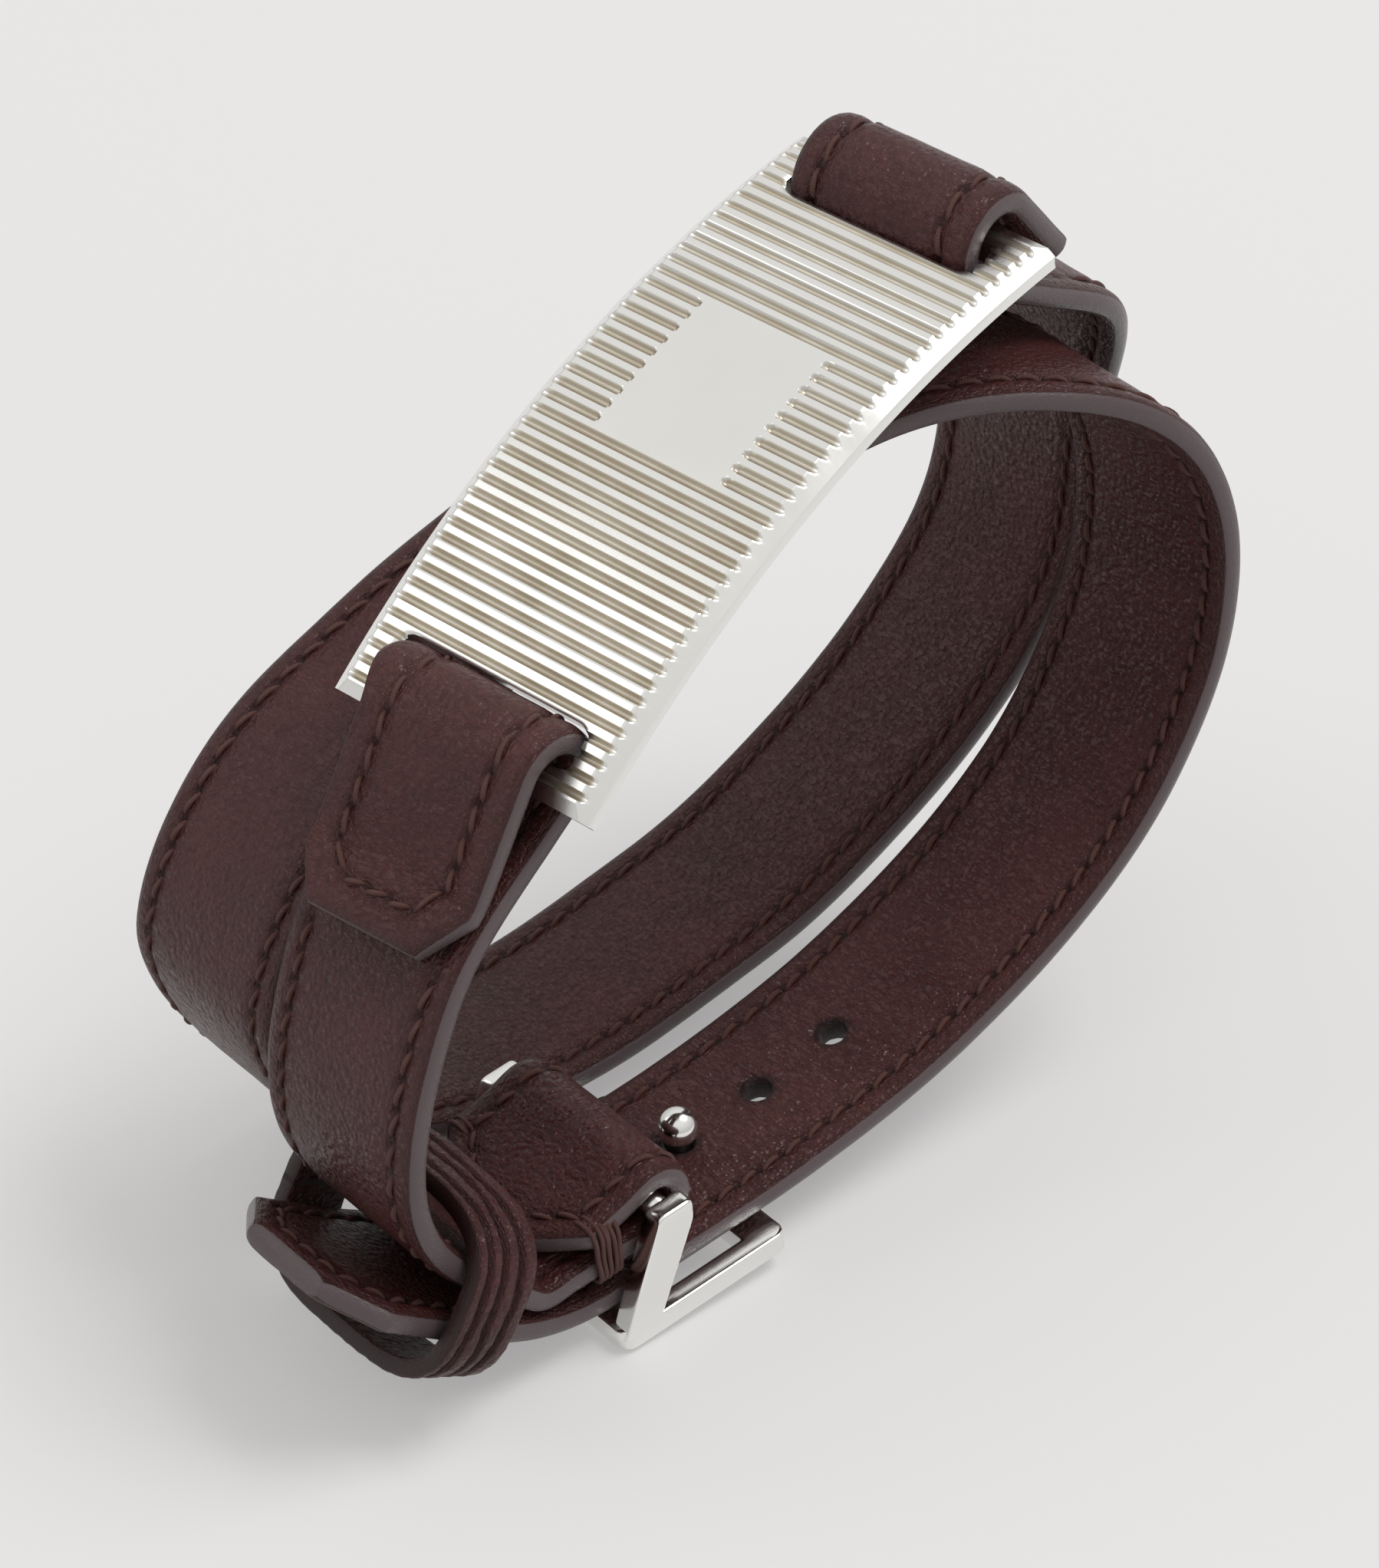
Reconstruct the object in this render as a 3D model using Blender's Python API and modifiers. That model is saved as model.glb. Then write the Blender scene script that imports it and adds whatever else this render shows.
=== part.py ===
"""Double-wrap leather bracelet with a curved ribbed plate, a stud buckle and a keeper.

Two lined leather straps make one double turn round the wrist. The short strap runs from the plate's
lower slot down the left side to the buckle. The long strap starts at its free tail, runs twice round
the right side and once round the left, and ends in the plate's upper slot. Axes: X along the straps
at the buckle, Y along the wrist, Z up. Lengths are in millimetres times MM, which gives metres.
"""
import math

import bmesh
import bpy
import numpy as np
from mathutils import Matrix, Vector

MM = 0.001

# --- Overall size of the loop ------------------------------------------------------------------
LOOP_WIDTH = 65.0 * MM          # across the wrist, outside to outside
LOOP_HEIGHT = 48.0 * MM         # from the lowest strap to the crest below the plate
DRAWN_WIDTH = 65.0 * MM         # loop that the distances beside the pin and the bars were drawn for
DRAWN_HEIGHT = 48.0 * MM

# --- Straps --------------------------------------------------------------------------------------
STRAP_WIDTH = 13.0 * MM
LAYER_THICKNESS = 0.75 * MM     # one leather layer
LAYER_GAP = 0.3 * MM            # glue line between outer leather and lining
LANE_GAP = 2.4 * MM             # between the two turns where the keeper sits
LOWER_TAB_LENGTH = 12.8 * MM    # folded end beyond the plate's lower bar
UPPER_TAB_LENGTH = 10.8 * MM    # folded end beyond the upper bar
FOLD_LENGTH = 9.5 * MM          # folded end beyond the buckle's pin
TAB_GAP = 0.3 * MM              # between a folded end and the strap it is sewn to
TIP_CHAMFER = 3.0 * MM          # length of the blunt point on each strap end
TIP_SHARE = 0.5                 # width left at the blunt point, as a share of the strap
PINCH_DISTANCE = 7.6 * MM       # from a plate bar to where the folded end meets the strap
NECK_DISTANCE = 3.4 * MM        # from a plate bar to where the leather loop starts to narrow
NECK_SHARE = 0.72               # half of the loop's opening there, as a share of its radius
LOWER_LEAVE = math.radians(229.0)   # direction in which a strap leaves its bar
UPPER_LEAVE = math.radians(-40.0)
CURVE_STEPS = 16                # dense points between two points of a path
LONGEST_FACE = 3.2 * MM
SHARPEST_TURN = math.radians(13.0)

# --- Plate -----------------------------------------------------------------------------------------
PLATE_LENGTH = 44.0 * MM        # chord between the ends
PLATE_WIDTH = 19.2 * MM
PLATE_THICKNESS = 1.7 * MM
PLATE_SAG = 3.4 * MM            # rise of the middle above the chord
PLATE_SLOPE = math.radians(24.0)
PLATE_YAW = math.radians(8.3)
BAR_WIDTH = 2.0 * MM            # end bar that a strap folds over
SLOT_LENGTH = 3.5 * MM          # along the plate
SLOT_CLEARANCE = 0.5 * MM      # on each side of the strap
EDGE_BEVEL = 0.75 * MM          # smooth sloping long sides
EDGE_DROP = 0.8 * MM
GROOVE_PITCH = 1.03 * MM
GROOVE_WIDTH = 0.56 * MM
GROOVE_DEPTH = 0.32 * MM
GROOVE_END_SHARE = 0.6          # plain rim at the plate's ends, as a share of the pitch
CUTTER_RISE = 0.4 * MM          # height of the groove cutters above the top face
PANEL_GROOVES = 10              # short grooves beside the plain panel
PANEL_SHIFT = 3                 # grooves between the panel's middle and the plate's
PANEL_WIDTH = 9.0 * MM
BAR_CLEARANCE = 0.5 * MM        # round the end bar, inside the leather fold

# --- Buckle -----------------------------------------------------------------------------------------
PIN_RADIUS = 0.75 * MM
PIN_CLEARANCE = 0.3 * MM
TAIL_GAP = 1.3 * MM             # between the short strap and the tail that passes outside it
FRAME_GAP = 0.4 * MM            # between the tail and the frame outside it
FRAME_THICKNESS = 1.5 * MM
FRAME_SIDE = 1.4 * MM           # width of the side bars, and of the arms along Y
FRAME_SIDE_CLEARANCE = 0.45 * MM
FRAME_BACK = 4.6 * MM           # from the pin back to the arm end
FRAME_BACK_BAR = 2.0 * MM
FRAME_FRONT_BAR = 2.6 * MM
ARM_ROOT = 3.4 * MM             # length of each arm where it meets the frame
ARM_HEAD = 0.9 * MM             # metal round the pin's seat
ARM_TOP_BACK = 0.75             # flat top of the arm, as shares of its head, behind the pin
ARM_TOP_FRONT = 0.8             # and in front of it
ARM_NOSE = 0.4
BUCKLE_TILT = math.radians(5.0)
STUD_REACH = 6.9 * MM           # from the pin to the stud
STUD_RADIUS = 0.65 * MM
STUD_CLEARANCE = 0.35 * MM      # round the post, in the strap's hole
BALL_RADIUS = 1.2 * MM
BALL_GAP = 0.35 * MM
HOLE_PITCH = 6.2 * MM
HOLE_COUNT = 3
STUD_SINK = 0.7                 # share of the frame's thickness that the post reaches into
PIN_POCKET = 0.8 * MM           # depth of the pin's seat in each arm
PIN_END_GAP = 0.3 * MM

# --- Keeper -----------------------------------------------------------------------------------------
KEEPER_WIDTH = 4.8 * MM
KEEPER_THICKNESS = 1.1 * MM
KEEPER_SIDE_CLEARANCE = 0.75 * MM
KEEPER_RISE = 4.8 * MM          # inner half-height
KEEPER_SLOPE = math.radians(-30.0)
KEEPER_SQUARENESS = 3.6         # exponent of the band's rounded-rectangle section
KEEPER_SEGMENTS = 32

# --- Thread -------------------------------------------------------------------------------------------
TACK_RADIUS = 0.32 * MM
TACK_GAP = 0.3 * MM
TACK_REACH = 1.2 * MM           # how far the thread reaches in from the edge
TACK_BACK = 4.0 * MM            # from the pin
TACK_CORNER = 0.4 * MM
TACK_LIFT = 0.5 * MM            # extra room over the puffed folded end

# --- Derived ------------------------------------------------------------------------------------------
STRAP_THICKNESS = 2 * LAYER_THICKNESS + LAYER_GAP
LAYER_OFFSET = (LAYER_THICKNESS + LAYER_GAP) / 2
LANE_PITCH = STRAP_WIDTH + LANE_GAP
FOLD_PITCH = STRAP_THICKNESS + TAB_GAP
PIN_FOLD_RADIUS = PIN_RADIUS + PIN_CLEARANCE + STRAP_THICKNESS / 2
BAR_FOLD_RADIUS = math.hypot(BAR_WIDTH, PLATE_THICKNESS) / 2 + BAR_CLEARANCE + STRAP_THICKNESS / 2
TAIL_LEVEL = -PIN_FOLD_RADIUS - STRAP_THICKNESS - TAIL_GAP
FRAME_TOP = TAIL_LEVEL - STRAP_THICKNESS / 2 - FRAME_GAP
FRAME_INNER = STRAP_WIDTH / 2 + FRAME_SIDE_CLEARANCE
FRAME_FRONT = STUD_REACH + FRAME_FRONT_BAR / 2


# --- Places -------------------------------------------------------------------------------------------
PIN_REACH = 13.0 * MM           # the straps keep their drawn distance from the pin up to here
BAR_REACH = 12.0 * MM           # and from a plate bar up to here


def loop_point(across, up, lane):
    """Point of a strap's middle: across and up as shares of the loop, lane 0 near and 1 far."""
    return Vector((across * LOOP_WIDTH, lane * LANE_PITCH, up * LOOP_HEIGHT))


PIN_DRAWN = (-0.132, 0.135, 0.0)
LOWER_BAR_DRAWN = (-0.22105, 0.79489, 0.16987)
UPPER_BAR_DRAWN = (0.35747, 1.14738, 0.52609)
PIN_CENTRE = loop_point(*PIN_DRAWN)
PLATE_CENTRE = loop_point(0.065, 0.981, 0.346)


def buckle_matrix():
    """Buckle axes: origin on the pin, X towards the stud, Z towards the wrist."""
    return Matrix.Translation(PIN_CENTRE) @ Matrix.Rotation(-BUCKLE_TILT, 4, "Y")


def plate_axes():
    """Plate axes at its middle: X along the chord, Y across, Z outwards."""
    turn = Matrix.Rotation(PLATE_YAW, 4, "Z") @ Matrix.Rotation(-PLATE_SLOPE, 4, "Y")
    return Matrix.Translation(PLATE_CENTRE) @ turn


def plate_radius():
    """Radius of the plate's top face from its chord and its rise."""
    return (PLATE_LENGTH / 2) ** 2 / (2 * PLATE_SAG) + PLATE_SAG / 2


def plate_arc_length():
    """Length of the top face between the ends, along the curve."""
    radius = plate_radius()
    return 2 * radius * math.asin(PLATE_LENGTH / 2 / radius)


def bend(point):
    """Bend a point of the flat plate: X is distance along the top face, Z height above it."""
    radius = plate_radius()
    angle = point.x / radius
    reach = radius + point.z
    return Vector((reach * math.sin(angle), point.y, reach * math.cos(angle) - radius + PLATE_SAG))


def bar_centre(side):
    """Middle of an end bar in the plate's axes: side -1 is the lower end, 1 the upper."""
    along = side * (plate_arc_length() / 2 - BAR_WIDTH / 2)
    return bend(Vector((along, 0.0, -PLATE_THICKNESS / 2)))


def carried_point(across, up, lane):
    """Point of a strap's middle that goes along with the pin and the end bars it passes.

    Beside each of them it keeps its drawn distance from it, and far from all of them its share of the
    loop, so straps stay clear of each other when the loop or the plate changes.
    """
    free = loop_point(across, up, lane)
    bars = [plate_axes() @ bar_centre(side) for side in (-1, 1)]
    pulls = []
    for drawn, place, reach in ((PIN_DRAWN, PIN_CENTRE, PIN_REACH), (LOWER_BAR_DRAWN, bars[0], BAR_REACH),
                                (UPPER_BAR_DRAWN, bars[1], BAR_REACH)):
        offset = Vector(((across - drawn[0]) * DRAWN_WIDTH, (lane - drawn[2]) * LANE_PITCH,
                         (up - drawn[1]) * DRAWN_HEIGHT))
        share = min(1.0, max(0.0, 2.0 - math.hypot(offset.x, offset.z) / reach))
        pulls.append((share * share * (3 - 2 * share), place + offset - free))
    total = max(1.0, sum(weight for weight, _ in pulls))
    return free + sum((weight / total * pull for weight, pull in pulls), Vector((0.0, 0.0, 0.0)))


# --- Paths ---------------------------------------------------------------------------------------------
def in_plane(angle):
    """Unit vector at an angle from the horizontal, square to the plate's end bars."""
    level = Vector((math.cos(PLATE_YAW), math.sin(PLATE_YAW), 0.0))
    return math.cos(angle) * level + math.sin(angle) * Vector((0.0, 0.0, 1.0))


def bar_fold(centre, leave_angle, inner_sign):
    """Points of a fold round an end bar, from the inner side of the strap to the outer side."""
    leave = in_plane(leave_angle)
    inner = in_plane(leave_angle + inner_sign * math.pi / 2)
    turns = [math.radians(step) for step in range(0, 181, 20)]
    return [centre + BAR_FOLD_RADIUS * (math.cos(a) * inner - math.sin(a) * leave) for a in turns]


def beside_bar(centre, leave_angle, inner_sign, distance, offset):
    """Point beyond an end bar, on the inner side (offset above 0) or the outer side of the pair."""
    inner = in_plane(leave_angle + inner_sign * math.pi / 2)
    return centre + distance * in_plane(leave_angle) + offset * inner


def catmull_rom(points):
    """Dense centripetal Catmull-Rom curve through the points."""
    pts = [2 * points[0] - points[1]] + list(points) + [2 * points[-1] - points[-2]]
    curve = []
    for p0, p1, p2, p3 in zip(pts, pts[1:], pts[2:], pts[3:]):
        t1 = math.sqrt((p1 - p0).length)
        t2 = t1 + math.sqrt((p2 - p1).length)
        t3 = t2 + math.sqrt((p3 - p2).length)
        for step in range(CURVE_STEPS):
            t = t1 + (t2 - t1) * step / CURVE_STEPS
            a1 = p0 * ((t1 - t) / t1) + p1 * (t / t1)
            a2 = p1 * ((t2 - t) / (t2 - t1)) + p2 * ((t - t1) / (t2 - t1))
            a3 = p2 * ((t3 - t) / (t3 - t2)) + p3 * ((t - t2) / (t3 - t2))
            b1 = a1 * ((t2 - t) / t2) + a2 * (t / t2)
            b2 = a2 * ((t3 - t) / (t3 - t1)) + a3 * ((t - t1) / (t3 - t1))
            curve.append(b1 * ((t2 - t) / (t2 - t1)) + b2 * ((t - t1) / (t2 - t1)))
    curve.append(Vector(points[-1]))
    return curve


class Path:
    """A strap's middle line with its tangent, its across direction and its outward normal."""

    def __init__(self, points, yaw_ends=(0.0, 0.0)):
        self.points = catmull_rom(points)
        gaps = [(b - a).length for a, b in zip(self.points, self.points[1:])]
        self.reach = [0.0] + np.cumsum(gaps).tolist()
        self.length = self.reach[-1]
        self.yaw_ends = yaw_ends

    def at(self, distance):
        """Position, tangent, across and outward directions at a distance from the start."""
        index = int(np.searchsorted(self.reach, distance)) - 1
        index = min(max(index, 0), len(self.points) - 2)
        share = (distance - self.reach[index]) / (self.reach[index + 1] - self.reach[index])
        place = self.points[index].lerp(self.points[index + 1], share)
        before = self.points[max(index - 1, 0)]
        after = self.points[min(index + 2, len(self.points) - 1)]
        tangent = (after - before).normalized()
        yaw = self.yaw_at(distance)
        guide = Vector((-math.sin(yaw), math.cos(yaw), 0.0))
        across = (guide - guide.dot(tangent) * tangent).normalized()
        return place, tangent, across, across.cross(tangent)

    def yaw_at(self, distance):
        """The across direction turns with the plate over the end that folds round its bar."""
        shares = []
        for reach in (distance, self.length - distance):
            past_bar = reach - LOWER_TAB_LENGTH - 2 * BAR_FOLD_RADIUS
            shares.append(min(1.0, max(0.0, 1 - past_bar / LOWER_TAB_LENGTH)))
        return self.yaw_ends[0] * shares[0] + self.yaw_ends[1] * shares[1]

    def stations(self, longest, turn):
        """Distances at which the path has turned by an angle or run a length since the last one."""
        found = [0.0]
        last = self.at(0.0)[1]
        dense = np.linspace(0.0, self.length, len(self.points)).tolist()
        for distance in dense[1:-1]:
            tangent = self.at(distance)[1]
            if distance - found[-1] > longest or tangent.angle(last) > turn:
                found.append(distance)
                last = tangent
        found.append(self.length)
        return found


def short_strap_points():
    """Plate tab, lower bar fold, left side, buckle fold and its sewn end."""
    centre = plate_axes() @ bar_centre(-1)
    side = 1.0
    run_in = [
        beside_bar(centre, LOWER_LEAVE, side, NECK_DISTANCE, NECK_SHARE * BAR_FOLD_RADIUS),
        beside_bar(centre, LOWER_LEAVE, side, PINCH_DISTANCE, FOLD_PITCH / 2),
    ]
    left = [(-0.329, 0.613, 0.09), (-0.366, 0.527, 0.05), (-0.392, 0.433, 0.02), (-0.4, 0.375, 0.0),
            (-0.397, 0.318, 0.0), (-0.384, 0.262, 0.0), (-0.357, 0.205, 0.0), (-0.316, 0.152, 0.0)]
    buckle = buckle_matrix()
    level = [Vector((x * MM, 0.0, -PIN_FOLD_RADIUS)) for x in (-8.5, -6.0, -3.0)]
    strand = run_in + [carried_point(*item) for item in left] + [buckle @ item for item in level]
    fold = list(reversed(bar_fold(centre, LOWER_LEAVE, side)))
    guide = Path(strand)
    tab = []
    for distance in np.linspace(LOWER_TAB_LENGTH - PINCH_DISTANCE, 0.5 * MM, 4).tolist():
        place, _, _, outward = guide.at(distance + (guide.points[CURVE_STEPS] - guide.points[0]).length)
        tab.append(place + FOLD_PITCH * outward)
    turns = [math.radians(step) for step in range(-90, 91, 20)]
    loop = [buckle @ (PIN_FOLD_RADIUS * Vector((math.cos(a), 0.0, math.sin(a)))) for a in turns]
    back = []
    start = guide.length + 3.0 * MM
    for distance in np.linspace(5.2 * MM, FOLD_LENGTH, 3).tolist():
        place, _, _, outward = guide.at(start - distance)
        back.append(place - FOLD_PITCH * outward)
    return tab + fold + strand + loop + back


def long_strap_points():
    """Tail, buckle, right side, crossing under the plate, left side, right side, upper bar, tab."""
    buckle = buckle_matrix()
    tail = [(-0.471, 0.225, 0.0), (-0.421, 0.176, 0.0), (-0.372, 0.125, 0.0), (-0.323, 0.079, 0.0),
            (-0.272, 0.04, 0.0)]
    level = [Vector((x * MM, 0.0, TAIL_LEVEL)) for x in (-5.5, 0.0, 6.0, 9.5)]
    first_right = [(0.188, 0.092, 0.0), (0.278, 0.138, 0.0), (0.372, 0.203, 0.0), (0.465, 0.304, 0.0),
                   (0.525, 0.425, 0.0), (0.554, 0.523, 0.0), (0.562, 0.62, 0.0), (0.56, 0.694, 0.0),
                   (0.545, 0.779, 0.02), (0.522, 0.842, 0.04)]
    crossing = [(0.494, 0.888, 0.067), (0.457, 0.927, 0.13), (0.391, 0.963, 0.26), (0.323, 0.981, 0.37),
                (0.269, 0.977, 0.48), (0.215, 0.954, 0.58), (0.131, 0.902, 0.72), (0.062, 0.854, 0.83)]
    left = [(-0.006, 0.792, 0.92), (-0.08, 0.754, 0.95), (-0.168, 0.696, 0.97), (-0.254, 0.629, 1.0),
            (-0.32, 0.538, 1.0), (-0.357, 0.45, 1.0), (-0.371, 0.373, 1.0), (-0.355, 0.292, 1.0),
            (-0.317, 0.2, 1.0), (-0.254, 0.125, 1.0), (-0.178, 0.079, 1.0), (-0.1, 0.054, 1.0)]
    second_right = [(-0.031, 0.046, 1.0), (0.055, 0.052, 1.0), (0.15, 0.081, 0.99), (0.246, 0.117, 0.97),
                    (0.346, 0.19, 0.945), (0.448, 0.285, 0.925), (0.532, 0.406, 0.905), (0.565, 0.477, 0.9),
                    (0.58, 0.56, 0.895), (0.583, 0.665, 0.89), (0.588, 0.735, 0.875), (0.588, 0.81, 0.83),
                    (0.571, 0.885, 0.75), (0.535, 0.954, 0.65)]
    centre = plate_axes() @ bar_centre(1)
    side = -1.0
    run_out = [
        beside_bar(centre, UPPER_LEAVE, side, PINCH_DISTANCE, FOLD_PITCH / 2),
        beside_bar(centre, UPPER_LEAVE, side, NECK_DISTANCE, NECK_SHARE * BAR_FOLD_RADIUS),
    ]
    free = [carried_point(*item) for item in first_right + crossing + left + second_right]
    strand = [carried_point(*item) for item in tail] + [buckle @ item for item in level] + free + run_out
    fold = bar_fold(centre, UPPER_LEAVE, side)
    guide = Path(strand)
    tab = []
    run = (guide.points[-CURVE_STEPS - 1] - guide.points[-1]).length
    for distance in np.linspace(0.5 * MM, UPPER_TAB_LENGTH - PINCH_DISTANCE, 3).tolist():
        place, _, _, outward = guide.at(guide.length - run - distance)
        tab.append(place + FOLD_PITCH * outward)
    return strand + fold + tab


# --- Mesh helpers -----------------------------------------------------------------------------------
def make_material(name, colour, roughness, metallic):
    """Principled material with one colour, roughness and metallic value."""
    material = bpy.data.materials.new(name)
    material.use_nodes = True
    shader = material.node_tree.nodes["Principled BSDF"]
    shader.inputs["Base Color"].default_value = (*colour, 1.0)
    shader.inputs["Roughness"].default_value = roughness
    shader.inputs["Metallic"].default_value = metallic
    return material


def add_object(name, mesh, collection, material=None, matrix=None):
    """Object for a mesh, in a collection, with its material and its place."""
    obj = bpy.data.objects.new(name, mesh)
    collection.objects.link(obj)
    if material:
        mesh.materials.clear()
        mesh.materials.append(material)
    if matrix:
        obj.matrix_world = matrix
    return obj


def add_cutter(name, mesh, matrix=None):
    """Hidden wire object that a Boolean reads."""
    cutter = add_object(name, mesh, CUTTERS, matrix=matrix)
    cutter.hide_render = True
    cutter.display_type = "WIRE"
    return cutter


def boolean(target, operation, cutter):
    """Exact Boolean modifier on target."""
    modifier = target.modifiers.new(f"{operation.lower()}_{cutter.name}", "BOOLEAN")
    modifier.operation = operation
    modifier.solver = "EXACT"
    modifier.object = cutter


def box_mesh(name, low, high):
    """Axis-aligned box between two corners."""
    bm = bmesh.new()
    bmesh.ops.create_cube(bm, size=1.0)
    size = Vector(high) - Vector(low)
    middle = (Vector(high) + Vector(low)) / 2
    bmesh.ops.scale(bm, vec=size, verts=bm.verts)
    bmesh.ops.translate(bm, vec=middle, verts=bm.verts)
    return finish_mesh(name, bm)


def cylinder_mesh(name, radius, length, segments=20):
    """Cylinder along Z, centred."""
    bm = bmesh.new()
    bmesh.ops.create_cone(bm, cap_ends=True, segments=segments, radius1=radius, radius2=radius, depth=length)
    return finish_mesh(name, bm)


def finish_mesh(name, bm):
    """Write a bmesh to a new mesh and free it."""
    mesh = bpy.data.meshes.new(name)
    bm.to_mesh(mesh)
    bm.free()
    return mesh


def outline_mesh(name, outlines, thickness):
    """Flat outlines in XY, an outer one and any holes, extruded to a thickness about Z 0."""
    curve = bpy.data.curves.new(name, "CURVE")
    curve.dimensions = "2D"
    curve.fill_mode = "BOTH"
    curve.extrude = thickness / 2
    for corners in outlines:
        spline = curve.splines.new("POLY")
        spline.points.add(len(corners) - 1)
        for point, corner in zip(spline.points, corners):
            point.co = (corner[0], corner[1], 0.0, 1.0)
        spline.use_cyclic_u = True
    return curve_to_mesh(name, curve)


def tube_mesh(name, points, radius):
    """Round thread through points, with filled ends."""
    curve = bpy.data.curves.new(name, "CURVE")
    curve.dimensions = "3D"
    curve.bevel_depth = radius
    curve.bevel_resolution = 2
    curve.use_fill_caps = True
    spline = curve.splines.new("POLY")
    spline.points.add(len(points) - 1)
    for point, place in zip(spline.points, points):
        point.co = (*place, 1.0)
    return curve_to_mesh(name, curve)


def curve_to_mesh(name, curve):
    """Mesh of a curve with its caps welded and its faces pointing out."""
    holder = bpy.data.objects.new(name + "_curve", curve)
    PARTS.objects.link(holder)
    graph = bpy.context.evaluated_depsgraph_get()
    mesh = bpy.data.meshes.new_from_object(holder.evaluated_get(graph))
    bpy.data.objects.remove(holder)
    bm = bmesh.new()
    bm.from_mesh(mesh)
    bmesh.ops.remove_doubles(bm, verts=bm.verts, dist=0.001 * MM)
    bmesh.ops.recalc_face_normals(bm, faces=bm.faces)
    bm.to_mesh(mesh)
    bm.free()
    mesh.name = name
    return mesh


def apply_modifiers(obj):
    """Replace an object's mesh by its evaluated one, with its place in the mesh left as it is."""
    graph = bpy.context.evaluated_depsgraph_get()
    mesh = bpy.data.meshes.new_from_object(obj.evaluated_get(graph))
    obj.modifiers.clear()
    obj.data = mesh
    return mesh


# --- Straps -------------------------------------------------------------------------------------------
def half_width(path, distance):
    """Half of the strap's width, which narrows to the blunt point at both ends."""
    to_end = min(distance, path.length - distance)
    share = min(1.0, to_end / TIP_CHAMFER)
    return STRAP_WIDTH / 2 * (TIP_SHARE + (1 - TIP_SHARE) * share)


def strap_layer(name, path, offset, material):
    """One leather layer: an open ribbon along the path, given its thickness by Solidify."""
    tips = [TIP_CHAMFER, path.length - TIP_CHAMFER]
    free = [distance for distance in path.stations(LONGEST_FACE, SHARPEST_TURN)
            if min(abs(distance - tip) for tip in tips) > LAYER_THICKNESS]
    stations = sorted(free + tips)
    bm = bmesh.new()
    rows = []
    for distance in stations:
        place, _, across, outward = path.at(distance)
        middle = place + offset * outward
        half = half_width(path, distance)
        rows.append([bm.verts.new(middle + side * half * across) for side in (-1.0, 1.0)])
    for row, following in zip(rows, rows[1:]):
        bm.faces.new((row[0], row[1], following[1], following[0]))
    layer = add_object(name, finish_mesh(name, bm), PARTS, material)
    thick = layer.modifiers.new("leather", "SOLIDIFY")
    thick.thickness = LAYER_THICKNESS
    thick.offset = 0.0
    thick.use_even_offset = True
    return layer


def build_straps():
    """Both lined straps, with the punched holes in the long one."""
    leather = make_material("strap_leather", (0.085, 0.035, 0.03), 0.45, 0.0)
    lining = make_material("lining_leather", (0.07, 0.03, 0.027), 0.5, 0.0)
    short = Path(short_strap_points(), yaw_ends=(PLATE_YAW, 0.0))
    long = Path(long_strap_points(), yaw_ends=(0.0, PLATE_YAW))
    strap_layer("short_strap_outer", short, LAYER_OFFSET, leather)
    strap_layer("short_strap_lining", short, -LAYER_OFFSET, lining)
    layers = [strap_layer("long_strap_outer", long, LAYER_OFFSET, leather),
              strap_layer("long_strap_lining", long, -LAYER_OFFSET, lining)]
    stud_place = buckle_matrix() @ Vector((STUD_REACH, 0.0, TAIL_LEVEL))
    steps = np.linspace(0.0, long.length / 4, 800).tolist()
    near = min(steps, key=lambda distance: (long.at(distance)[0] - stud_place).length)
    for index in range(HOLE_COUNT):
        place, tangent, across, outward = long.at(near + index * HOLE_PITCH)
        turn = Matrix((tangent, across, outward)).transposed().to_4x4()
        punch = add_cutter(f"punch_{index}",
                           cylinder_mesh(f"punch_{index}", STUD_RADIUS + STUD_CLEARANCE, 6 * MM, 16),
                           Matrix.Translation(place) @ turn)
        for layer in layers:
            boolean(layer, "DIFFERENCE", punch)
    return short, long


def build_tacks(short):
    """Thread bars that bind the folded end to the strap beside the pin, one on each edge."""
    thread = make_material("waxed_thread", (0.09, 0.03, 0.02), 0.7, 0.0)
    buckle = buckle_matrix()
    top = -PIN_FOLD_RADIUS + FOLD_PITCH + STRAP_THICKNESS / 2 + TACK_GAP + TACK_RADIUS + TACK_LIFT
    bottom = -PIN_FOLD_RADIUS - STRAP_THICKNESS / 2 - TACK_GAP - TACK_RADIUS
    edge = STRAP_WIDTH / 2 + TACK_GAP + TACK_RADIUS
    inner = STRAP_WIDTH / 2 - TACK_REACH
    for name, side in (("bar_tack_near", -1.0), ("bar_tack_far", 1.0)):
        corners = [(inner, top), (edge - TACK_CORNER, top), (edge, top - TACK_CORNER),
                   (edge, bottom + TACK_CORNER), (edge - TACK_CORNER, bottom), (inner, bottom)]
        points = [buckle @ Vector((-TACK_BACK, side * y, z)) for y, z in corners]
        add_object(name, tube_mesh(name, points, TACK_RADIUS), PARTS, thread)


# --- Plate ---------------------------------------------------------------------------------------------
def groove_cutters():
    """Flat cutter mesh of all the grooves: V-bottomed prisms across the plate."""
    bm = bmesh.new()
    arc = plate_arc_length()
    count = int(arc / GROOVE_PITCH - GROOVE_END_SHARE)
    first = -(count - 1) / 2 * GROOVE_PITCH
    outer = PLATE_WIDTH / 2 + GROOVE_PITCH
    panel_low = (count - PANEL_GROOVES) // 2 + PANEL_SHIFT
    for index in range(count):
        place = first + index * GROOVE_PITCH
        short = panel_low <= index < panel_low + PANEL_GROOVES
        spans = [(-outer, -PANEL_WIDTH / 2), (PANEL_WIDTH / 2, outer)] if short else [(-outer, outer)]
        for low, high in spans:
            add_prism(bm, place, low, high)
    return finish_mesh("grooves", bm)


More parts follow.
